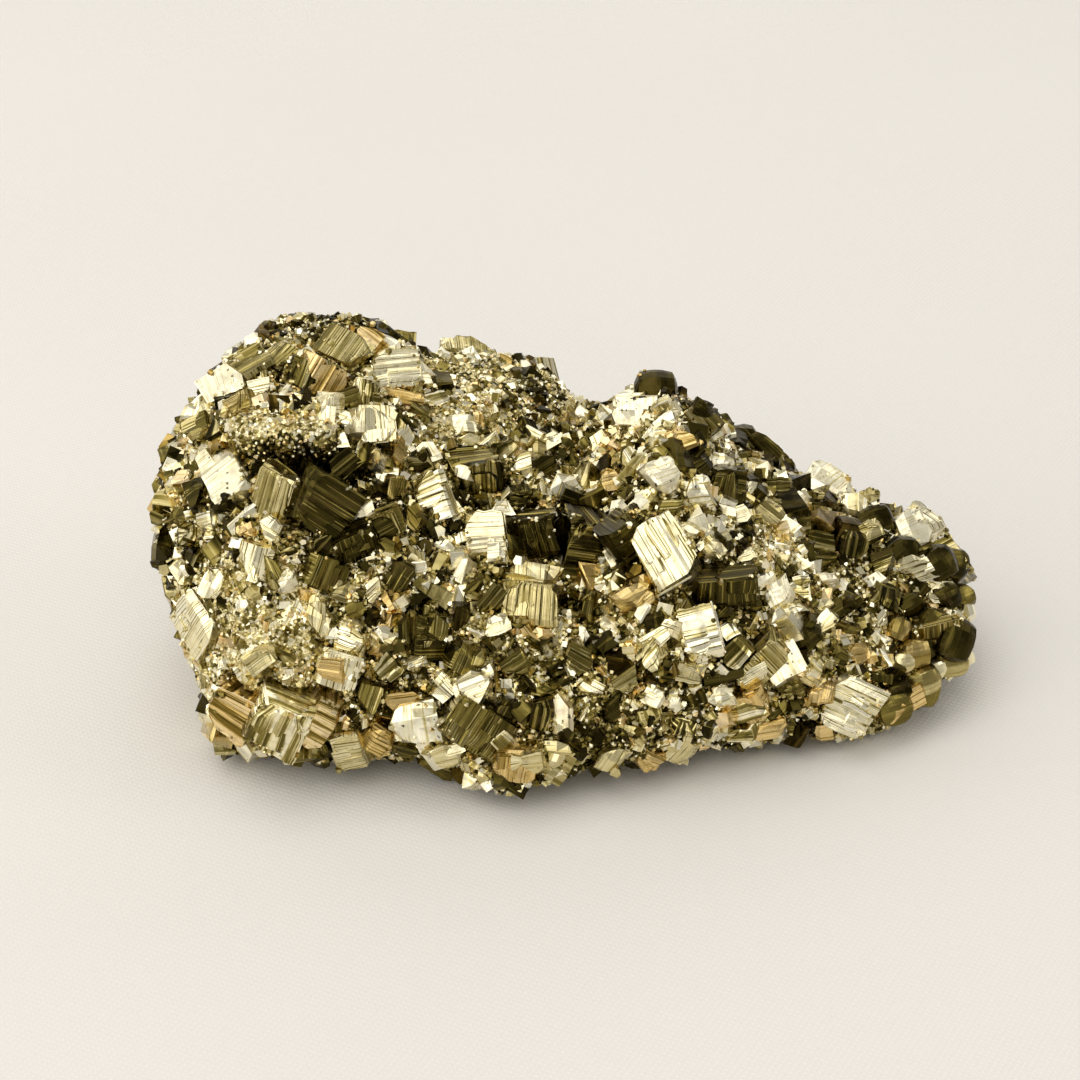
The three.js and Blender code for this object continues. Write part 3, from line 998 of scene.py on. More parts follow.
ZONES = (
    Zone(-34.6, 30.4, 8.0, 3.2, 0.0, 0.85, 0.32, 3.2),  # rounded ledge under the brow, painted paler on top where the light falls on it
    Zone(-33.0, 27.6, 6.5, 1.1, 0.0, 0.8, -0.4, 0.0),  # shaded underside of the ledge
    Zone(-30.0, 25.8, 7.5, 1.5, 0.0, 0.7, -0.6, -3.0),  # hollow below the ledge, with painted shade
    Zone(-6.5, 36.5, 10.0, 5.0, 0.25, 0.8, 0.12, 0.6),  # plateau behind the brow, its pale grains, with painted reflection of the back light on their top faces
    Zone(-14.0, 31.0, 7.0, 4.0, 0.3, 0.8, 0.2, 0.5),  # grains right of the brow
    Zone(-28.0, 43.6, 10.0, 2.6, 0.15, 0.9, -0.1, 0.4),  # top of the brow
    Zone(44.0, 6.0, 4.5, 8.0, 0.15, 0.8, -0.15, 0.0),  # toe, of rounded crystals
    Zone(-42.5, 7.0, 5.5, 9.0, 0.25, 0.8, 0.27, 0.6),  # left flank
    Zone(-35.0, 3.0, 6.0, 6.0, 0.4, 0.8, 0.27, 0.4),  # lower left
    Zone(-30.0, 13.0, 7.0, 5.0, 0.6, 0.9, 0.22, 0.0),  # left, above the middle
    Zone(26.0, 17.5, 3.5, 3.0, 0.4, 0.8, 0.3, 0.0),  # right shoulder
    Zone(34.0, 14.0, 3.0, 5.0, 0.4, 0.8, 0.0, 0.0),  # seam before the low end
    Zone(5.0, -6.0, 6.0, 5.0, 0.4, 0.9, -0.1, 0.0),  # foot, below the middle
)


@dataclass
class GranularLump:
    """The lump: the CAD solids as one skin, sunk under the crystals, filled between them and roughened.

    Lengths are in millimetres, and rates are changes in a millimetre.
    """

    voxel: float = 0.5
    sink: float = 0.6
    bare_sink: float = 0.4  # how much of the sinking is left where no crystal covers the display side
    fill: float = 0.35
    grain: float = 0.35
    grain_rate: float = 1.5
    swelling: float = 0.5
    swelling_rate: float = 0.5
    cover: float = 0.5  # how far round a crystal the skin counts as covered
    foot: float = 2.0  # the skin is left alone at the floor, and moves freely from this height up
    # The skin's shade is kept low: its granular tone, darkened as painted shade for the gaps between the
    # crystals.
    shade: float = 0.28
    darkest: float = 0.05

    def build(
        self, nodes: dict[str, bpy.types.Object], seats: Sequence[Seat], material: bpy.types.Material
    ) -> bpy.types.Object:
        """Makes the lump's piece.

        Args:
            nodes: The CAD nodes, by name.
            seats: The large crystals' seats.
            material: Its finish.

        Returns:
            The piece.
        """
        joined = self._joined(nodes)
        remesh = joined.modifiers.new("skin", "REMESH")
        remesh.mode, remesh.voxel_size, remesh.adaptivity = "VOXEL", self.voxel * MM, 0.0
        mesh = evaluated_mesh(joined, "granular_lump_skin")
        bpy.data.objects.remove(joined)
        self._roughen(mesh, seats)
        piece = new_piece(mesh, material)
        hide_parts(LUMP)
        log.info("lump: %d faces", len(mesh.polygons))
        return piece

    def _joined(self, nodes: dict[str, bpy.types.Object]) -> bpy.types.Object:
        """Every CAD solid in one object, for the skin to go round."""
        joined = placed("joined", joined_mesh([node.data for node in nodes.values()]))
        joined.modifiers.new("weld", "WELD").merge_threshold = 1e-6
        return joined

    def _roughen(self, mesh: bpy.types.Mesh, seats: Sequence[Seat]) -> None:
        """Sinks the skin under the crystals, fills it between them and gives it grains.

        Args:
            mesh: The skin, whose flat underside is kept.
            seats: The large crystals' seats.
        """
        points = mesh_points(mesh)
        normals = mesh_normals(mesh)
        covered = np.zeros(len(points))
        for seat in seats:
            covered[seat.inside(points, self.cover * MM)] = 1
        layout = SIGHT.layout(points)
        toward = normals @ np.array(SIGHT.near)
        display = np.clip(toward * 2, 0, 1)  # 1 on faces turned to the viewpoint, and 0 on those side-on
        swell = sum(zone.weight(layout) * zone.swell for zone in ZONES)
        swell = (swell + self.fill) * display * (1 - covered)
        push = np.empty(len(points))
        for number, point in enumerate(points):
            place = Vector(point) / MM
            push[number] = smooth_noise(place * self.grain_rate) * self.grain
            push[number] += smooth_noise(place * self.swelling_rate) * self.swelling
        sink = self.sink * np.where(covered > 0, 1, 1 - (1 - self.bare_sink) * display)
        above = np.clip(points[:, 2] / (self.foot * MM), 0, 1)
        push = (push + swell - sink) * above * MM
        points += normals * push[:, None]
        points[:, 2] = np.maximum(points[:, 2], 0)
        mesh.vertices.foreach_set("co", points.astype(np.float32).ravel())
        mesh.update()
        weight = np.clip(toward * 4 + 1, 0, 1)  # the tint reaches a little way round the sides
        # The zones' tint: painted light on the ledge's top, painted shade under it and in its hollow, painted
        # reflection on the plateau, and elsewhere the patches' own tone.
        tint = sum(zone.weight(layout) * zone.shade for zone in ZONES)
        write_values(mesh, {"shade": np.clip(self.shade + tint * weight, self.darkest, 1)})


# ---- Crystals set one by one on the display side ----


# Each crystal's place across and up the sight plane and its long and wide edge, in millimetres, then the
# turn of its long edge anticlockwise and its lean to the right and upwards, in degrees, then the letter of
# its tone: a small letter for a rounded crystal.
SET_ROWS = (
    (-35.2, 40.0, 3.6, 3.4, 62, -25, 10, "G"), (-24.7, 35.4, 3.6, 3.4, 84, 0, 0, "G"),
    (-29.4, 33.8, 3.6, 2.8, 88, -8, -4, "C"), (-32.6, 37.8, 3.4, 3.0, 70, 12, 0, "B"),
    (-27.2, 34.7, 3.4, 2.6, 20, 18, -10, "B"), (-40.5, 34.0, 3.6, 2.8, 20, -20, 0, "G"),
    (-45.2, 23.0, 3.8, 3.6, 30, -40, 5, "D"), (-37.9, 15.0, 4.2, 3.4, 70, -22, 0, "C"),
    (-39.3, 18.8, 2.3, 2.0, 30, -20, 10, "T"), (-25.0, 20.5, 2.8, 2.4, 35, 0, 6, "W"),
    (-30.4, 17.3, 3.2, 2.6, 50, 16, -14, "D"), (-12.6, 13.6, 3.3, 2.3, 70, -6, 8, "W"),
    (-34.7, 12.1, 3.2, 2.7, 20, -10, 10, "W"), (-27.5, 11.2, 3.2, 2.6, -20, 8, -6, "G"),
    (-30.7, 8.1, 4.3, 3.1, 80, -6, -6, "T"), (25.9, 11.2, 3.8, 3.4, -60, -10, 16, "W"),
    (8.4, 10.4, 4.6, 3.8, 35, 0, -6, "T"), (17.3, 16.7, 3.6, 2.6, -45, -4, 8, "C"),
    (-9.2, 10.1, 3.8, 2.8, 50, 10, -16, "B"), (-4.5, 12.9, 6.4, 2.2, -6, 0, -24, "T"),
    (2.7, 9.1, 3.8, 3.0, 80, 16, -8, "B"), (-2.9, 26.4, 3.4, 2.8, 30, 8, -12, "D"),
    (11.9, 24.8, 3.8, 4.2, 25, -4, 22, "W"), (15.9, 22.9, 3.4, 3.6, 10, 2, 20, "W"),
    (-5.4, 26.2, 3.2, 3.2, 20, -14, 4, "C"), (20.5, 3.8, 3.8, 3.0, 45, 10, -12, "G"),
    (28.1, 11.7, 3.4, 2.8, 15, -4, 10, "C"), (33.7, 9.3, 3.8, 3.0, 30, 14, -10, "D"),
    (34.0, 6.5, 3.4, 2.4, -20, 0, -12, "T"), (31.0, -0.7, 3.4, 3.1, 80, 0, -8, "T"),
    (27.1, -0.4, 3.4, 2.8, 30, 12, -20, "B"), (18.4, -1.7, 3.5, 2.6, 10, -6, 8, "W"),
    (14.0, -8.0, 3.8, 3.0, 55, 0, -26, "T"), (9.8, -9.0, 3.6, 2.8, -20, 6, -22, "T"),
    (5.4, -9.0, 3.8, 3.0, 60, -4, -24, "T"), (14.0, -5.4, 3.6, 3.2, 84, 6, -26, "B"),
    (-11.6, -1.0, 4.2, 4.4, 20, -4, 16, "W"), (-0.5, -3.1, 4.3, 2.2, 88, -6, 6, "W"),
    (25.0, -5.3, 3.6, 2.4, 10, 0, -26, "T"), (39.5, -2.6, 3.6, 2.8, 40, 10, -20, "B"),
    (-19.4, 6.6, 5.0, 2.9, 90, -10, -4, "D"), (-12.5, 3.2, 3.9, 3.7, 70, 6, -12, "B"),
    (-18.8, 2.8, 3.2, 2.6, 20, 0, 8, "C"), (-14.4, -8.4, 3.6, 2.8, 20, 0, -24, "T"),
    (-22.8, -6.5, 3.8, 3.2, -30, -4, -24, "T"), (-6.3, 2.6, 3.8, 3.2, 35, 6, -12, "B"),
    (-26.6, 5.0, 3.6, 3.0, -20, -6, 6, "C"), (36.8, 18.5, 3.4, 2.8, 20, 16, -4, "G"),
    (42.5, 13.7, 3.6, 3.0, 20, 8, 6, "C"), (47.6, 7.9, 2.6, 2.4, 10, 20, 6, "W"),
    (46.6, 2.4, 3.0, 2.6, 50, 20, -10, "C"), (45.5, 11.2, 3.4, 2.6, 0, 16, 4, "C"),
    (41.6, -1.9, 3.4, 2.8, 30, 12, -20, "T"), (43.2, 15.2, 3.6, 3.0, 20, 14, 6, "D"),
    (38.6, 10.4, 4.4, 3.4, 60, 10, -6, "D"), (38.4, 14.4, 3.8, 3.2, 20, 6, 10, "B"),
    (30.4, 17.4, 4.4, 2.6, -10, 4, 4, "B"), (24.6, 20.8, 3.4, 2.8, -35, 10, 8, "G"),
    (15.4, 27.0, 3.6, 3.2, 40, 14, 2, "D"), (6.0, 24.8, 3.4, 3.0, 15, -8, 10, "T"),
    (0.6, 22.4, 3.6, 2.8, -20, 10, -8, "D"), (-18.4, 26.8, 3.6, 3.0, 30, 0, -10, "B"),
    (-20.6, 13.4, 3.4, 2.8, 60, -8, -6, "D"), (1.4, 3.4, 3.8, 3.0, -30, 8, -10, "B"),
    (10.2, 3.4, 3.4, 2.8, 50, -6, 6, "G"), (15.0, 1.4, 3.2, 2.6, -15, 0, -14, "T"),
    (5.6, -3.2, 3.0, 2.6, 40, -4, -8, "D"), (-24.4, -1.6, 3.8, 3.0, 70, 4, -12, "B"),
    (-15.4, -0.6, 3.0, 2.6, -40, -8, 4, "C"), (-37.2, 3.0, 4.0, 3.2, 35, -16, -10, "T"),
    (-43.0, 12.4, 3.2, 2.8, 60, -36, 0, "C"), (-46.6, 18.2, 3.4, 3.0, 20, -44, 6, "G"),
    (46.7, 14.3, 4.4, 4.2, 0, 30, 0, "d"), (37.6, 19.6, 4.4, 4.0, 20, 5, 5, "d"),
    (41.0, 15.8, 4.4, 4.2, 40, 10, 0, "d"), (42.4, 3.7, 3.6, 3.4, 10, 20, -8, "g"),
    (47.3, 2.8, 3.4, 3.2, 0, 30, -10, "t"), (40.0, -3.0, 4.2, 3.8, 20, 10, -16, "b"),
    (44.4, 7.4, 3.4, 3.2, 60, 20, -6, "b"), (3.8, 26.3, 2.6, 2.2, 30, -4, 10, "W"),
    (-4.4, 20.2, 2.4, 1.4, 70, 4, 6, "W"), (1.2, 21.4, 2.8, 1.2, -70, 0, 6, "C"),
    (-1.8, 11.6, 2.6, 1.5, 10, 0, 8, "W"), (9.4, 9.2, 2.8, 1.7, 60, -4, 6, "W"),
    (-8.4, 14.6, 2.4, 1.6, 30, 0, 6, "C"), (14.8, 18.6, 2.6, 1.5, -30, 0, 8, "W"),
    (-18.6, 14.2, 2.6, 1.5, 10, -4, 6, "W"), (-12.6, 25.8, 2.6, 1.6, -20, -4, 8, "W"),
    (-2.6, 29.6, 2.8, 1.7, 30, -4, 8, "C"), (8.8, 31.0, 2.6, 1.8, 10, 0, 8, "W"),
    (-10.2, 1.2, 2.6, 1.7, 40, 0, -4, "W"), (15.6, 2.6, 3.0, 1.8, 20, 4, -2, "C"),
    (29.8, 0.4, 2.8, 1.7, -30, 6, -8, "T"), (5.7, 24.8, 3.6, 2.2, -10, 8, -6, "B"),
    (7.4, 27.5, 2.4, 2.2, -60, 0, 6, "C"), (18.6, 26.9, 4.4, 2.0, -5, -6, 20, "W"),
    (19.2, 24.1, 4.2, 3.4, 75, 0, -4, "D"), (6.5, 21.8, 2.6, 1.6, 15, -6, 10, "W"),
    (-5.9, 22.7, 2.8, 2.6, 0, 10, -4, "D"), (-13.8, 20.7, 2.6, 2.4, 30, -8, 6, "C"),
    (-0.5, 15.0, 8.5, 1.5, 82, -10, 4, "C"), (5.9, 15.3, 3.2, 1.8, -60, -6, 6, "W"),
    (-1.5, 6.6, 3.4, 2.2, 60, -4, 0, "C"), (1.7, 5.5, 3.2, 1.6, 85, -6, 6, "W"),
    (5.3, 7.0, 2.4, 2.0, -30, -6, 6, "W"), (10.8, 5.5, 3.2, 2.1, 35, -6, 8, "C"),
    (-8.7, 7.0, 3.2, 2.4, 20, -4, 6, "C"), (21.1, 20.3, 2.6, 2.3, 20, -4, 8, "C"),
    (12.7, 21.4, 3.2, 1.8, 5, 6, -6, "B"), (22.0, 15.3, 2.8, 2.2, 30, -4, 6, "C"),
    (14.3, 9.3, 3.0, 2.4, 70, 8, -8, "B"), (-42.5, 22.5, 3.0, 2.2, -20, -20, 0, "D"),
    (-44.1, 19.9, 2.8, 2.3, 10, -30, 4, "C"), (-36.6, 18.8, 2.6, 2.4, -30, -10, 6, "C"),
    (-36.4, 13.9, 4.8, 2.4, -72, 10, -4, "B"), (-21.3, 23.8, 3.4, 2.6, 80, 8, -6, "B"),
    (-22.1, 25.6, 2.4, 2.0, 5, -4, 10, "W"), (-22.1, 19.6, 4.0, 2.6, 30, 10, -8, "D"),
    (-26.5, 17.0, 3.6, 2.4, 20, 6, -8, "D"), (-18.9, 20.3, 3.0, 2.2, -50, 6, -4, "B"),
    (-15.1, 16.5, 2.4, 2.2, -30, -6, 8, "W"), (-23.9, 11.3, 2.6, 2.2, 40, -4, 8, "C"),
    (-16.4, 6.7, 4.4, 2.8, 85, 6, -10, "B"), (-13.3, 7.9, 4.0, 2.2, 85, 10, -6, "D"),
    (-28.0, 1.8, 4.6, 3.0, -10, -4, -4, "T"), (-22.1, 1.8, 2.8, 2.6, 40, 6, -8, "G"),
    (-20.3, -2.1, 4.2, 2.2, 8, 0, -10, "T"), (23.6, 28.6, 5.0, 3.2, -45, 10, 4, "D"),
    (26.5, 26.2, 4.2, 2.8, -42, 12, 4, "D"), (25.3, 23.8, 4.2, 2.4, 4, 6, 0, "B"),
    (28.5, 22.1, 2.8, 2.2, 20, 4, 4, "W"), (31.1, 15.2, 3.6, 2.2, -8, 8, -6, "D"),
    (34.7, 17.8, 4.0, 3.4, 80, 10, 0, "D"), (27.5, 9.3, 3.2, 1.8, 15, -4, 8, "C"),
    (25.5, 8.1, 2.8, 2.2, 30, 4, -6, "W"), (28.7, 5.7, 5.0, 2.6, 45, 6, -8, "D"),
    (30.9, 7.1, 4.4, 1.9, 45, -6, 6, "W"), (35.9, 3.7, 3.2, 2.8, 10, 10, -6, "T"),
    (32.8, 3.5, 3.0, 2.4, -30, 6, -8, "B"), (22.2, -3.0, 4.4, 2.6, 20, -2, -16, "T"),
    (21.2, -6.2, 4.0, 2.4, 0, 0, -24, "T"), (43.6, 0.2, 4.0, 3.4, 20, 20, -14, "g"),
    (46.2, 10.6, 3.4, 3.2, 20, 30, 0, "d"), (48.0, 10.4, 3.6, 3.2, 20, 30, 0, "b"),
    (47.4, 5.4, 5.0, 4.2, 70, 20, -4, "d"), (46.8, 2.6, 4.0, 3.4, 10, 20, -10, "g"),
    (43.9, -0.8, 3.8, 3.0, 80, 10, -14, "b"), (39.2, -3.2, 3.8, 3.0, 10, 4, -16, "T"),
    (45.2, 14.6, 4.6, 4.2, 30, 20, 6, "d"), (43.4, 12.6, 3.0, 2.2, -10, 10, 10, "C"),
    (46.9, 7.9, 2.4, 2.0, 60, 24, 6, "W"), (46.2, 3.8, 3.4, 3.2, 30, 30, -6, "b"),
    (42.0, 9.6, 3.0, 2.8, 30, 10, 0, "d"), (40.6, 6.6, 2.8, 2.6, 70, 10, 0, "g"),
    (43.4, 4.2, 3.0, 2.8, 30, 16, -6, "d"), (41.2, 2.6, 2.6, 2.4, 10, 10, -6, "t"),
    (37.6, 12.2, 2.6, 2.0, 30, 4, 6, "W"), (34.0, 9.6, 2.8, 1.8, -60, 0, 4, "C"),
    (38.4, 8.0, 2.6, 1.6, 50, 10, 4, "C"), (32.0, 12.4, 2.4, 1.8, 10, 4, 8, "W"),
    (28.8, 14.4, 2.6, 1.8, -40, 0, 8, "C"), (24.4, 12.6, 2.6, 2.0, 30, 0, 6, "W"),
    (43.2, 8.0, 2.6, 1.8, -20, 16, 10, "C"), (40.6, -1.2, 3.0, 2.8, 20, 10, -16, "d"),
    (44.9, 1.6, 2.6, 2.4, 20, 26, -10, "c"), (-44.6, 31.2, 4.4, 3.4, 20, -30, 0, "G"),
    (-37.6, 36.1, 2.6, 2.1, 10, -10, 6, "C"), (-24.6, 42.0, 3.2, 2.8, -40, 4, 12, "T"),
    (-22.8, 43.6, 2.6, 1.8, -40, 8, 18, "C"), (-17.8, 36.8, 2.4, 2.0, 0, 4, 6, "C"),
    (-20.3, 35.0, 4.8, 2.0, -10, 6, -8, "T"), (-15.8, 34.6, 2.8, 2.2, 20, 0, 6, "T"),
    (-18.3, 33.2, 2.8, 2.2, -30, 6, -8, "B"), (-27.3, 31.8, 2.8, 2.2, -20, -6, 8, "W"),
    (-13.3, 31.6, 4.2, 2.4, 5, -4, 12, "W"), (-7.8, 28.8, 3.0, 2.6, 40, 8, -8, "B"),
    (-16.8, 28.3, 2.6, 2.2, -60, -4, 8, "W"), (-27.8, 27.2, 3.4, 3.0, 40, 6, -10, "D"),
    (13.6, 29.9, 3.6, 2.6, 20, 6, 2, "T"), (17.4, 30.2, 2.8, 2.2, 40, 0, 10, "C"),
    (16.7, 32.8, 3.6, 3.0, -30, 10, 10, "D"), (21.7, 29.8, 4.8, 3.6, -50, 12, 8, "D"),
    (10.5, -1.7, 2.8, 2.2, -20, -4, 8, "W"), (-7.5, -7.4, 3.2, 2.6, -40, 0, -14, "T"),
    (-4.9, -9.4, 4.0, 2.4, 10, 0, -24, "T"), (-3.3, -4.0, 4.4, 2.8, 80, 6, -10, "D"),
    (7.0, 0.4, 3.0, 2.4, 30, 0, -8, "G"), (3.2, -0.6, 2.6, 2.2, -30, -6, 4, "C"),
    (-7.8, -3.2, 3.0, 2.6, 60, 4, -10, "D"), (12.6, 6.8, 3.4, 2.4, -20, -4, 6, "C"),
    (18.6, 8.6, 3.0, 2.4, 50, 8, -8, "D"), (22.6, 1.0, 3.6, 2.6, 30, 4, -10, "C"),
)


CLOSING_STEPS = 4  # the steps that bring a passing sight line's point as near as it comes to the lump


@dataclass
class SetCrystals:
    """Smaller crystals of the display side, set one by one on the sight plane."""

    habit: Habit = Habit(0.6, relief=0.07, most_strips=7, cuts=16, cut_depth=0.6, taper=0.24, shear=0.24)
    rounded: Habit = Habit(0.3, relief=0.02, most_strips=12, cuts=14, cut_depth=0.4, taper=0.1, bulge=0.6)
    twins: int = 2
    proud: float = 0.5  # the share of a crystal's depth that stands out of the lump
    depth_share: float = 0.9  # its depth, next to its wide edge
    seats: list[tuple[Seat, str]] = field(default_factory=list)

    def place(self, host: bpy.types.Object) -> None:
        """Sets each crystal where its sight line meets the lump.

        Args:
            host: The lump's piece.
        """
        tree = BVHTree.FromPolygons(
            [vertex.co for vertex in host.data.vertices], [face.vertices for face in host.data.polygons]
        )
        for right, rise, long, wide, *angles, letter in SET_ROWS:
            ray = SIGHT.point(right, rise) - SIGHT.eye
            hit = tree.ray_cast(SIGHT.eye, ray.normalized())[0] or self._beside(tree, ray.normalized())
            turn, yaw, pitch = map(math.radians, angles)
            lean = Quaternion(SIGHT.up, yaw) @ Quaternion(SIGHT.across, -pitch)
            edge = lean @ (Quaternion(SIGHT.near, turn) @ SIGHT.across)
            face = lean @ SIGHT.near
            side = face.cross(edge)
            half = np.array([long, wide, wide * self.depth_share]) * MM / 2
            middle = np.array(hit) + np.array(face) * half[2] * (2 * self.proud - 1)
            self.seats.append((Seat(middle, np.array([edge, side, face]), half), letter))

    @staticmethod
    def _beside(tree: BVHTree, sight: Vector) -> Vector:
        """The point of a sight line that passes nearest the lump.

        Args:
            tree: The lump's faces.
            sight: The line's direction, from the eye.

        Returns:
            The point.
        """
        point = SIGHT.eye + sight * SIGHT.distance * MM
        for _ in range(CLOSING_STEPS):
            nearest = tree.find_nearest(point)[0]
            point = SIGHT.eye + sight * (nearest - SIGHT.eye).dot(sight)
        return point

    def build(self, materials: dict[str, bpy.types.Material]) -> None:
        """Makes the pieces, one for each finish.

        Args:
            materials: The finishes, by name.
        """
        gathered = {finish: Shards() for finish in ("bright", "satin", "smooth", "tan")}
        for number, (seat, letter) in enumerate(self.seats):
            rng = np.random.default_rng(SET_SEEDS + number)
            tone = TONE_LETTERS[letter.upper()]
            if letter.islower():
                grow(gathered["smooth"], seat, self.rounded, tone, rng, twins=0)
            else:
                grow(gathered[tone.finish], seat, self.habit, tone, rng, self.twins)
        for finish, shards in gathered.items():
            new_piece(shards.mesh(f"set_crystals_{finish}"), materials[finish])
        log.info("set crystals: %d", len(self.seats))


# ---- The druse ----


@dataclass(frozen=True)
class DruseLayer:
    """One size class of scattered crystals.

    The mask says where it grows, and the spans cut it into pieces along the lump. Dull and bright are
    the ends of its shades, tilt is the most that a crystal leans, in degrees, and sunk is the share of
    its size that is under the surface. Lengths are in millimetres.
    """

    name: str
    mask: str
    shapes: str
    seed: int
    spacing: float
    smallest: float
    largest: float
    dull: float
    bright: float
    tilt: float
    sunk: float
    spans: tuple[tuple[float, float], ...] = ((-60.0, 60.0),)


LAYERS = (
    DruseLayer("slabs", "coarse", "blocks", 5, 2.3, 2.6, 5.2, -0.05, 1.05, 18, 0.18, ((-60, -4), (-4, 60))),
    DruseLayer("coarse", "coarse", "blocks", 11, 1.7, 1.5, 3.6, 0.0, 1.0, 40, 0.16, ((-60, -14), (-14, 60))),
    DruseLayer("small", "small", "chips", 23, 1.1, 0.9, 2.1, 0.05, 1.05, 60, 0.12, ((-60, 0), (0, 60))),
    DruseLayer(
        "grains", "grains", "grains", 37, 0.56, 0.4, 0.85, 0.3, 1.1, 180, 0.05, ((-60, -12), (-12, 60))
    ),
)
CRUST = DruseLayer("crust", "crust", "grains", 41, 0.42, 0.3, 0.75, 0.4, 1.1, 180, 0.1)


class ShapeKit:
    """The few shapes that the druse repeats, in collections that are removed when it is done."""

    BLOCK_HABIT = Habit(0.35, relief=0.03, most_strips=3, cuts=12, cut_depth=0.5, taper=0.25, shear=0.25)
    BLOCK_SIZES = (
        (1, 0.75, 0.7),
        (1, 0.45, 0.6),
        (0.8, 0.8, 0.8),
        (1, 0.9, 0.45),
        (0.6, 1, 0.75),
        (1, 0.6, 0.9),
        (0.9, 0.4, 0.5),
    )
    STRIAE_RATE = 3  # a block's striae are drawn this many times finer than its size would give
    CUBE, STEP = 0.4, 0.5  # half the edge of a pyritohedron's cube corners, and the slope of its faces

    def __init__(self) -> None:
        """Builds the shapes."""
        self.collections: dict[str, bpy.types.Collection] = {}
        self._fill("blocks", [self._block(size, seed) for seed, size in enumerate(self.BLOCK_SIZES)])
        self._fill("chips", [self._chip(seed) for seed in range(5)] + [self._pyritohedron(1)])
        self._fill("grains", [self._chip(20), self._chip(21), self._pyritohedron(2)])

    def remove(self) -> None:
        """Removes the shapes and their collections."""
        for collection in self.collections.values():
            for shape in list(collection.objects):
                bpy.data.objects.remove(shape)
            bpy.data.collections.remove(collection)

    def _fill(self, name: str, meshes: list[bpy.types.Mesh]) -> None:
        """Puts meshes in a new collection that isn't in the scene."""
        collection = bpy.data.collections.new(name)
        for number, mesh in enumerate(meshes):
            collection.objects.link(bpy.data.objects.new(f"{name}_{number}", mesh))
        self.collections[name] = collection

    @staticmethod
    def _block(size: Sequence[float], seed: int) -> bpy.types.Mesh:
        """A stepped block a unit long, of a few dozen faces."""
        rng = np.random.default_rng(BLOCK_SEEDS + seed)
        points, quads, uvs = ShapeKit.BLOCK_HABIT.block(np.array(size) / 2, rng)
        shards = Shards()
        shards.add(points, quads, uvs * ShapeKit.STRIAE_RATE)
        return ShapeKit._bare(shards.mesh(f"block_{seed}"))

    @staticmethod
    def _chip(seed: int) -> bpy.types.Mesh:
        """A block of six faces, out of square, a unit long."""
        rng = np.random.default_rng(CHIP_SEEDS + seed)
        corners, quads, facing = lattice_shell((1, 1, 1))
        points = (corners - 0.5) * rng.uniform(0.6, 1.0, 3) * rng.uniform(0.8, 1.0, (len(corners), 3))
        uvs = np.zeros((len(quads), 4, 2))
        for row, (quad, axis) in enumerate(zip(quads, facing)):
            uvs[row] = corners[quad][:, [(axis + 1) % 3, (axis + 2) % 3]]
        shards = Shards()
        shards.add(points, quads, uvs)
        return ShapeKit._bare(shards.mesh(f"chip_{seed}"))

    @staticmethod
    def _pyritohedron(seed: int) -> bpy.types.Mesh:
        """A twelve-sided crystal, a unit across."""
        build = bmesh.new()
        cube = ShapeKit.CUBE
        tall, short = cube * (1 + ShapeKit.STEP), cube * (1 - ShapeKit.STEP**2)
        for a in (-1, 1):
            for b in (-1, 1):
                for c in (-1, 1):
                    build.verts.new((a * cube, b * cube, c * cube))
                build.verts.new((0, a * tall, b * short))
                build.verts.new((a * tall, b * short, 0))
                build.verts.new((a * short, 0, b * tall))
        bmesh.ops.convex_hull(build, input=build.verts)
        bmesh.ops.dissolve_limit(build, angle_limit=math.radians(2), verts=build.verts, edges=build.edges)
        mesh = bpy.data.meshes.new(f"pyritohedron_{seed}")
        build.to_mesh(mesh)
        build.free()
        uv = mesh.uv_layers.new(name="striae")
        for loop in mesh.loops:
            place = mesh.vertices[loop.vertex_index].co
            uv.data[loop.index].uv = (place.x + place.z, place.y)
        return mesh

    @staticmethod
    def _bare(mesh: bpy.types.Mesh) -> bpy.types.Mesh:
        """A mesh without its shade and seed, which the druse sets for each copy."""
        for key in ("shade", "seed"):
            mesh.attributes.remove(mesh.attributes[key])
        return mesh


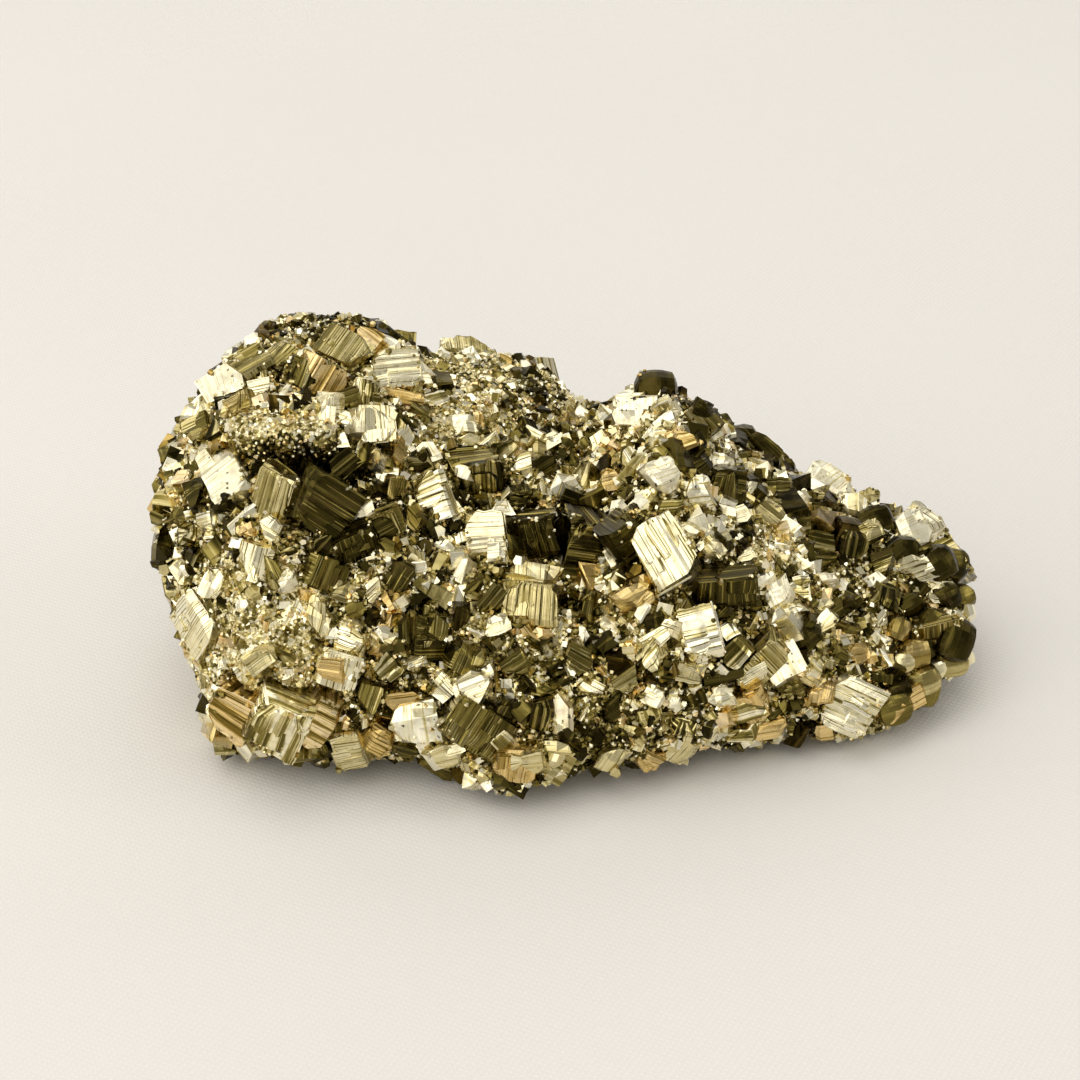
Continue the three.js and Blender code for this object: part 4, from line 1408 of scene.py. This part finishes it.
class Druse:
    """Scattered crystals of four sizes, and a crust of fine grains, grown by one node tree."""

    INPUTS = {
        "Collection": ("Shapes",),
        "String": ("Mask",),
        "Float": ("Spacing", "Smallest", "Largest", "Dull", "Bright", "Tilt", "Sunk", "From", "To"),
        "Int": ("Seed",),
        "Material": ("Finish",),
    }
    # How clear each mask keeps of a large crystal and of a listed one, in millimetres. None ignores it.
    CLEARANCES = {"coarse": (0.7, 0.3), "small": (0.35, 0.2), "grains": (0.0, None)}
    # How far above the floor each mask starts, in millimetres.
    HEIGHTS = {"coarse": 2.8, "small": 1.1, "grains": 0.5}
    SMALL_POWER = 0.25  # below 1, so that a patch thins the small crystals less than the coarse ones
    FACING, FACING_DOWN = -0.45, -0.75  # the patches end, and nothing grows, on faces turned further away
    DRIFT = 0.25  # how far shade and size drift along the lump
    SHADE_RATE, SIZE_RATE, SIZE_SHIFT = 130, 90, (7, 3, 1)  # the noises that they drift with
    MOST_POINTS = 8e6  # the points tried in a square metre, before those too close are dropped
    SIZE_POWER = 1.8  # above 1, so that small crystals outnumber large ones
    FULL_TURN = 6.283
    MOST_SEED = 60.0  # the largest number that sets a crystal's own pattern
    PARTING = (0.12, 0.88)  # the chances below and above which a crystal is fully dull or bright
    CRUST_FOOT = 0.8  # how far above the floor the crust grows, in millimetres
    CRUST_RATE = 420  # the noise that makes it patchy
    RIM, RIM_GAIN = 0.78, 5  # where a crystal's rim starts, next to its half size, and how sharply
    RIM_COVER, RIM_PATCHES = 0.2, 1.6  # how covered a rim is, and how much that changes with the noise
    SPOT, SPOT_GAIN = 0.42, 1.2  # how high the noise is where a spot of crust lies on a face

    def __init__(self) -> None:
        """Builds the tree."""
        self.tree = self._tree()

    def cover_lump(
        self,
        host: bpy.types.Object,
        seats: Sequence[Seat],
        set_seats: Sequence[Seat],
        kit: ShapeKit,
        material: bpy.types.Material,
    ) -> None:
        """Grows the layers between the crystals.

        Args:
            host: The lump's piece.
            seats: The large crystals' seats.
            set_seats: The listed crystals' seats.
            kit: The shapes.
            material: The finish.
        """
        surface = placed("druse_surface", host.data.copy())
        self._paint(surface.data, seats, set_seats)
        for layer in LAYERS:
            self._grow(surface, layer, kit, material)
        bpy.data.objects.remove(surface)

    def cover_crystals(self, large: LargeCrystals, kit: ShapeKit, material: bpy.types.Material) -> None:
        """Grows a crust of fine grains over the rims of the large crystals, and in patches on their faces.

        Args:
            large: The large crystals.
            kit: The shapes.
            material: The finish.
        """
        masks = []
        for mesh, (_, seat) in zip(large.surfaces, sorted(large.seats.items())):
            points = mesh_points(mesh)
            reach = np.sort(np.abs((points - seat.middle) @ seat.axes.T) / seat.half, axis=1)[:, 1]
            patch = np.array([smooth_noise(Vector(point) * self.CRUST_RATE) for point in points])
            rim = np.clip((reach - self.RIM) * self.RIM_GAIN, 0, 1)
            rim *= np.clip(self.RIM_COVER + self.RIM_PATCHES * patch, 0, 1)
            mask = np.clip(rim + np.clip(patch - self.SPOT, 0, 1) * self.SPOT_GAIN, 0, 1)
            masks.append(mask * (points[:, 2] > self.CRUST_FOOT * MM))
        mask = np.concatenate(masks)
        surface = placed("druse_surface", joined_mesh(large.surfaces))
        write_values(
            surface.data, {"crust": mask, "grain": np.ones(len(mask)), "bias": np.zeros(len(mask))}
        )
        self._grow(surface, CRUST, kit, material)
        bpy.data.objects.remove(surface)

    def _grow(
        self, surface: bpy.types.Object, layer: DruseLayer, kit: ShapeKit, material: bpy.types.Material
    ) -> None:
        """Grows a layer and turns it into pieces.

        Args:
            surface: What it grows on, with its masks.
            layer: The layer.
            kit: The shapes.
            material: The finish.
        """
        for number, (low, high) in enumerate(layer.spans):
            modifier = surface.modifiers.new("druse", "NODES")
            modifier.node_group = self.tree
            values = {
                "Shapes": kit.collections[layer.shapes],
                "Mask": layer.mask,
                "Spacing": layer.spacing * MM,
                "Smallest": layer.smallest * MM,
                "Largest": layer.largest * MM,
                "Dull": layer.dull,
                "Bright": layer.bright,
                "Tilt": math.radians(layer.tilt),
                "Sunk": layer.sunk,
                "From": low * MM,
                "To": high * MM,
                "Seed": layer.seed,
                "Finish": material,
            }
            for item in self.tree.interface.items_tree:
                if item.in_out == "INPUT" and item.name in values:
                    modifier[item.identifier] = values[item.name]
            mesh = evaluated_mesh(surface, f"druse_{layer.name}_{number + 1}")
            surface.modifiers.remove(modifier)
            self._tidy(mesh)
            new_piece(mesh, material)
            mesh.calc_loop_triangles()
            log.info("%s: %d triangles", mesh.name, len(mesh.loop_triangles))

    @staticmethod
    def _tidy(mesh: bpy.types.Mesh) -> None:
        """Drops the attributes that only the tree reads, and makes every face flat."""
        for key in ("coarse", "small", "grains", "crust", "grain", "bias"):
            if key in mesh.attributes:
                mesh.attributes.remove(mesh.attributes[key])
        mesh.shade_flat()

    def _paint(self, mesh: bpy.types.Mesh, seats: Sequence[Seat], set_seats: Sequence[Seat]) -> None:
        """Writes where each layer grows, how large and how bright, on the surface's vertices.

        Args:
            mesh: The surface.
            seats: The large crystals' seats.
            set_seats: The listed crystals' seats.
        """
        points = mesh_points(mesh)
        normals = mesh_normals(mesh)
        masks = {key: np.ones(len(points)) for key in self.HEIGHTS}
        grain, bias = np.ones(len(points)), np.zeros(len(points))
        layout = SIGHT.layout(points)
        toward = (normals @ np.array(SIGHT.near)) > self.FACING
        for zone in ZONES:
            weight = zone.weight(layout) * toward
            masks["coarse"] *= 1 + weight * (zone.coarse - 1)
            masks["small"] *= 1 + weight * (zone.coarse**self.SMALL_POWER - 1)
            grain *= 1 + weight * (zone.grain - 1)
            # The zones' shade carries into the druse: painted light on the ledge's top, painted shade under
            # it and in its hollow, painted reflection on the plateau, and elsewhere the patches' own tone.
            bias += weight * zone.shade
        for number, point in enumerate(points):
            place = Vector(point)
            bias[number] += self.DRIFT * smooth_noise(place * self.SHADE_RATE)
            grain[number] *= 1 + self.DRIFT * smooth_noise(place * self.SIZE_RATE + Vector(self.SIZE_SHIFT))
        facing_down = normals[:, 2] < self.FACING_DOWN
        for key, mask in masks.items():
            for group, clearance in zip((seats, set_seats), self.CLEARANCES[key]):
                if clearance is not None:
                    for seat in group:
                        mask[seat.inside(points, clearance * MM)] = 0
            mask[(points[:, 2] < self.HEIGHTS[key] * MM) | facing_down] = 0
        write_values(mesh, {**masks, "grain": grain, "bias": bias})

    def _tree(self) -> bpy.types.NodeTree:
        """The tree that grows one layer: points on the surface, a shape on each, and its attributes.

        Returns:
            The tree.
        """
        tree = bpy.data.node_groups.new("druse", "GeometryNodeTree")
        tree.interface.new_socket(name="Geometry", in_out="INPUT", socket_type="NodeSocketGeometry")
        for kind, labels in self.INPUTS.items():
            for label in labels:
                tree.interface.new_socket(name=label, in_out="INPUT", socket_type=f"NodeSocket{kind}")
        tree.interface.new_socket(name="Geometry", in_out="OUTPUT", socket_type="NodeSocketGeometry")
        sheet = Sheet(tree)
        given = sheet.add("NodeGroupInput").outputs
        made = sheet.add("NodeGroupOutput")

        def stored(key: object) -> bpy.types.NodeSocket:
            """A value stored on the surface."""
            node = sheet.add("GeometryNodeInputNamedAttribute", {"Name": key}, data_type="FLOAT")
            return node.outputs["Attribute"]

        def chance(low: object, high: object, key: int) -> bpy.types.NodeSocket:
            """A random number for each point."""
            inputs = {2: low, 3: high, "Seed": sheet.math("ADD", given["Seed"], float(key))}
            return sheet.add("FunctionNodeRandomValue", inputs, data_type="FLOAT").outputs[1]

        spread_out = {
            "Mesh": given["Geometry"],
            "Distance Min": given["Spacing"],
            "Density Max": self.MOST_POINTS,
            "Density Factor": stored(given["Mask"]),
            "Seed": given["Seed"],
        }
        points = sheet.add(
            "GeometryNodeDistributePointsOnFaces", spread_out, distribute_method="POISSON"
        ).outputs
        place = sheet.add("GeometryNodeInputPosition").outputs[0]
        east = sheet.add("ShaderNodeSeparateXYZ", {0: place}).outputs[0]
        before = sheet.add("FunctionNodeCompare", {0: east, 1: given["From"]}, operation="LESS_THAN")
        after = sheet.add("FunctionNodeCompare", {0: east, 1: given["To"]}, operation="GREATER_EQUAL")
        either = {0: before.outputs[0], 1: after.outputs[0]}
        outside = sheet.add("FunctionNodeBooleanMath", either, operation="OR").outputs[0]
        kept = sheet.add(
            "GeometryNodeDeleteGeometry", {"Geometry": points["Points"], "Selection": outside}, domain="POINT"
        ).outputs[0]
        shapes = sheet.add(
            "GeometryNodeCollectionInfo",
            {"Collection": given["Shapes"], "Separate Children": True, "Reset Children": True},
        ).outputs[0]
        tilt = given["Tilt"]
        lean = sheet.math("MULTIPLY", tilt, -1.0)
        spin = chance(0.0, self.FULL_TURN, 3)
        angles = {0: chance(lean, tilt, 1), 1: chance(lean, tilt, 2), 2: spin}
        euler = sheet.add("ShaderNodeCombineXYZ", angles).outputs[0]
        leaning = sheet.add("FunctionNodeEulerToRotation", {0: euler}).outputs[0]
        rotation = sheet.add(
            "FunctionNodeRotateRotation", {0: points["Rotation"], 1: leaning}, rotation_space="LOCAL"
        ).outputs[0]
        share = sheet.math("POWER", chance(0.0, 1.0, 4), self.SIZE_POWER)
        spread = sheet.math("SUBTRACT", given["Largest"], given["Smallest"])
        size = sheet.math("MULTIPLY_ADD", share, spread, given["Smallest"])
        size = sheet.math("MULTIPLY", size, stored("grain"))
        depth = sheet.math("MULTIPLY", sheet.math("MULTIPLY", size, given["Sunk"]), -1.0)
        inwards = sheet.add(
            "ShaderNodeVectorMath", {0: points["Normal"], "Scale": depth}, operation="SCALE"
        ).outputs[0]
        settled = sheet.add("GeometryNodeSetPosition", {"Geometry": kept, "Offset": inwards}).outputs[0]
        copies = {
            "Points": settled,
            "Instance": shapes,
            "Pick Instance": True,
            "Rotation": rotation,
            "Scale": size,
        }
        geometry = sheet.add("GeometryNodeInstanceOnPoints", copies).outputs[0]
        low, high = self.PARTING
        parting = {0: chance(0.0, 1.0, 5), 1: low, 2: high, 3: given["Dull"], 4: given["Bright"]}
        parted = sheet.add("ShaderNodeMapRange", parting, interpolation_type="SMOOTHSTEP").outputs[0]
        tinted = sheet.math("ADD", parted, stored("bias"), clamp=True)
        for key, value in (("shade", tinted), ("seed", chance(0.0, self.MOST_SEED, 6))):
            geometry = sheet.add(
                "GeometryNodeStoreNamedAttribute",
                {"Geometry": geometry, "Name": key, "Value": value},
                data_type="FLOAT",
                domain="INSTANCE",
            ).outputs[0]
        real = sheet.add("GeometryNodeRealizeInstances", {"Geometry": geometry}).outputs[0]
        finished = {"Geometry": real, "Material": given["Finish"]}
        sheet.fill(made, {0: sheet.add("GeometryNodeSetMaterial", finished).outputs[0]})
        return tree


# ---- The studio ----


@dataclass(frozen=True)
class SoftBox:
    """A soft studio light, aimed at the object's middle. Metres, watts and linear colour."""

    name: str
    place: tuple[float, float, float]
    size: tuple[float, float]
    power: float
    colour: tuple[float, float, float] = (1.0, 0.97, 0.92)
    target: tuple[float, float, float] = (0, 0, 0.015)

    def build(self) -> None:
        """Makes the light."""
        light = bpy.data.lights.new(self.name, "AREA")
        light.shape, (light.size, light.size_y) = "RECTANGLE", self.size
        light.energy, light.color = self.power, self.colour
        lamp = placed(self.name, light)
        lamp.location = self.place
        lamp.rotation_euler = (Vector(self.target) - Vector(self.place)).to_track_quat("-Z", "Y").to_euler()


@dataclass
class Studio:
    """The pale floor, the soft light and the camera."""

    lights: tuple[SoftBox, ...] = (
        SoftBox("key", (-0.30, -0.58, 0.74), (1.3, 1.0), 4.9),
        SoftBox("left", (-1.0, -0.15, 0.45), (1.1, 0.75), 3.2),
        SoftBox("back", (-0.1, 1.1, 0.65), (2.0, 0.7), 5.2),
        SoftBox("top", (-0.15, 0.25, 1.2), (1.0, 0.85), 3.2),
        SoftBox("right", (1.05, -0.1, 0.5), (0.6, 0.5), 1.6),
    )
    world: tuple[float, float, float] = (0.37, 0.358, 0.335)
    lens: float = 100
    sensor: float = 36
    clip: tuple[float, float] = (0.01, 20)
    floor_reach: float = 3.0

    def build(self) -> None:
        """Makes the floor, the lights, the world and the camera."""
        self._floor()
        for light in self.lights:
            light.build()
        world = bpy.data.worlds.new("studio")
        world.use_nodes = True
        world.node_tree.nodes["Background"].inputs["Color"].default_value = (*self.world, 1)
        bpy.context.scene.world = world
        bpy.context.scene.view_settings.view_transform = "Standard"
        camera = placed("camera", bpy.data.cameras.new("camera"))
        camera.data.lens, camera.data.sensor_width = self.lens, self.sensor
        camera.data.clip_start, camera.data.clip_end = self.clip
        camera.location = SIGHT.eye
        camera.rotation_euler = (-SIGHT.near).to_track_quat("-Z", "Y").to_euler()
        bpy.context.scene.camera = camera

    def _floor(self) -> None:
        """Makes the floor."""
        reach = self.floor_reach
        mesh = bpy.data.meshes.new("pale_floor")
        corners = [(-reach, -reach, 0), (reach, -reach, 0), (reach, reach, 0), (-reach, reach, 0)]
        mesh.from_pydata(corners, [], [(0, 1, 2, 3)])
        mesh.materials.append(ClothFinish().material())
        placed("pale_floor", mesh)


# ---- The whole ----


FINISHES = {
    "bright": PyriteFinish("bright_pyrite", brown_share=0.0),
    "smooth": PyriteFinish(
        "smooth_pyrite", lines=2.0, line_strength=0.12, stripe_swing=0.1, line_depth=0.00001, pit_share=0.1
    ),
    "tan": PyriteFinish("tan_pyrite", brown_share=0.45, line_strength=0.5, roughness=0.26),
    "satin": PyriteFinish(
        "satin_pyrite", brown_share=0.0, roughness=0.3, line_strength=0.4, pit_scale=1700.0, pit_share=0.9
    ),
    "druse": PyriteFinish("druse_pyrite", lines=2.0, line_strength=0.45, tarnish_share=0.2),
    "lump": PyriteFinish("granular_pyrite", brown_share=0.0, grain_scale=1900.0, roughness=0.32),
}


def main() -> None:
    """Builds the cluster and its studio."""
    logging.basicConfig(level=logging.INFO, format="%(name)s: %(message)s")
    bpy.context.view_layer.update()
    groups = {"striae": striae_group(), "weathering": weathering_group()}
    materials = {key: finish.material(groups) for key, finish in FINISHES.items()}
    nodes = frame["nodes"]
    large = LargeCrystals()
    large.read(nodes)
    seats = list(large.seats.values())
    lump = GranularLump().build(nodes, seats, materials["lump"])
    large.build(materials)
    hand_set = SetCrystals()
    hand_set.place(lump)
    hand_set.build(materials)
    kit = ShapeKit()
    druse = Druse()
    druse.cover_lump(lump, seats, [seat for seat, _ in hand_set.seats], kit, materials["druse"])
    druse.cover_crystals(large, kit, materials["druse"])
    kit.remove()
    Studio().build()


if __name__ == "__main__":
    main()
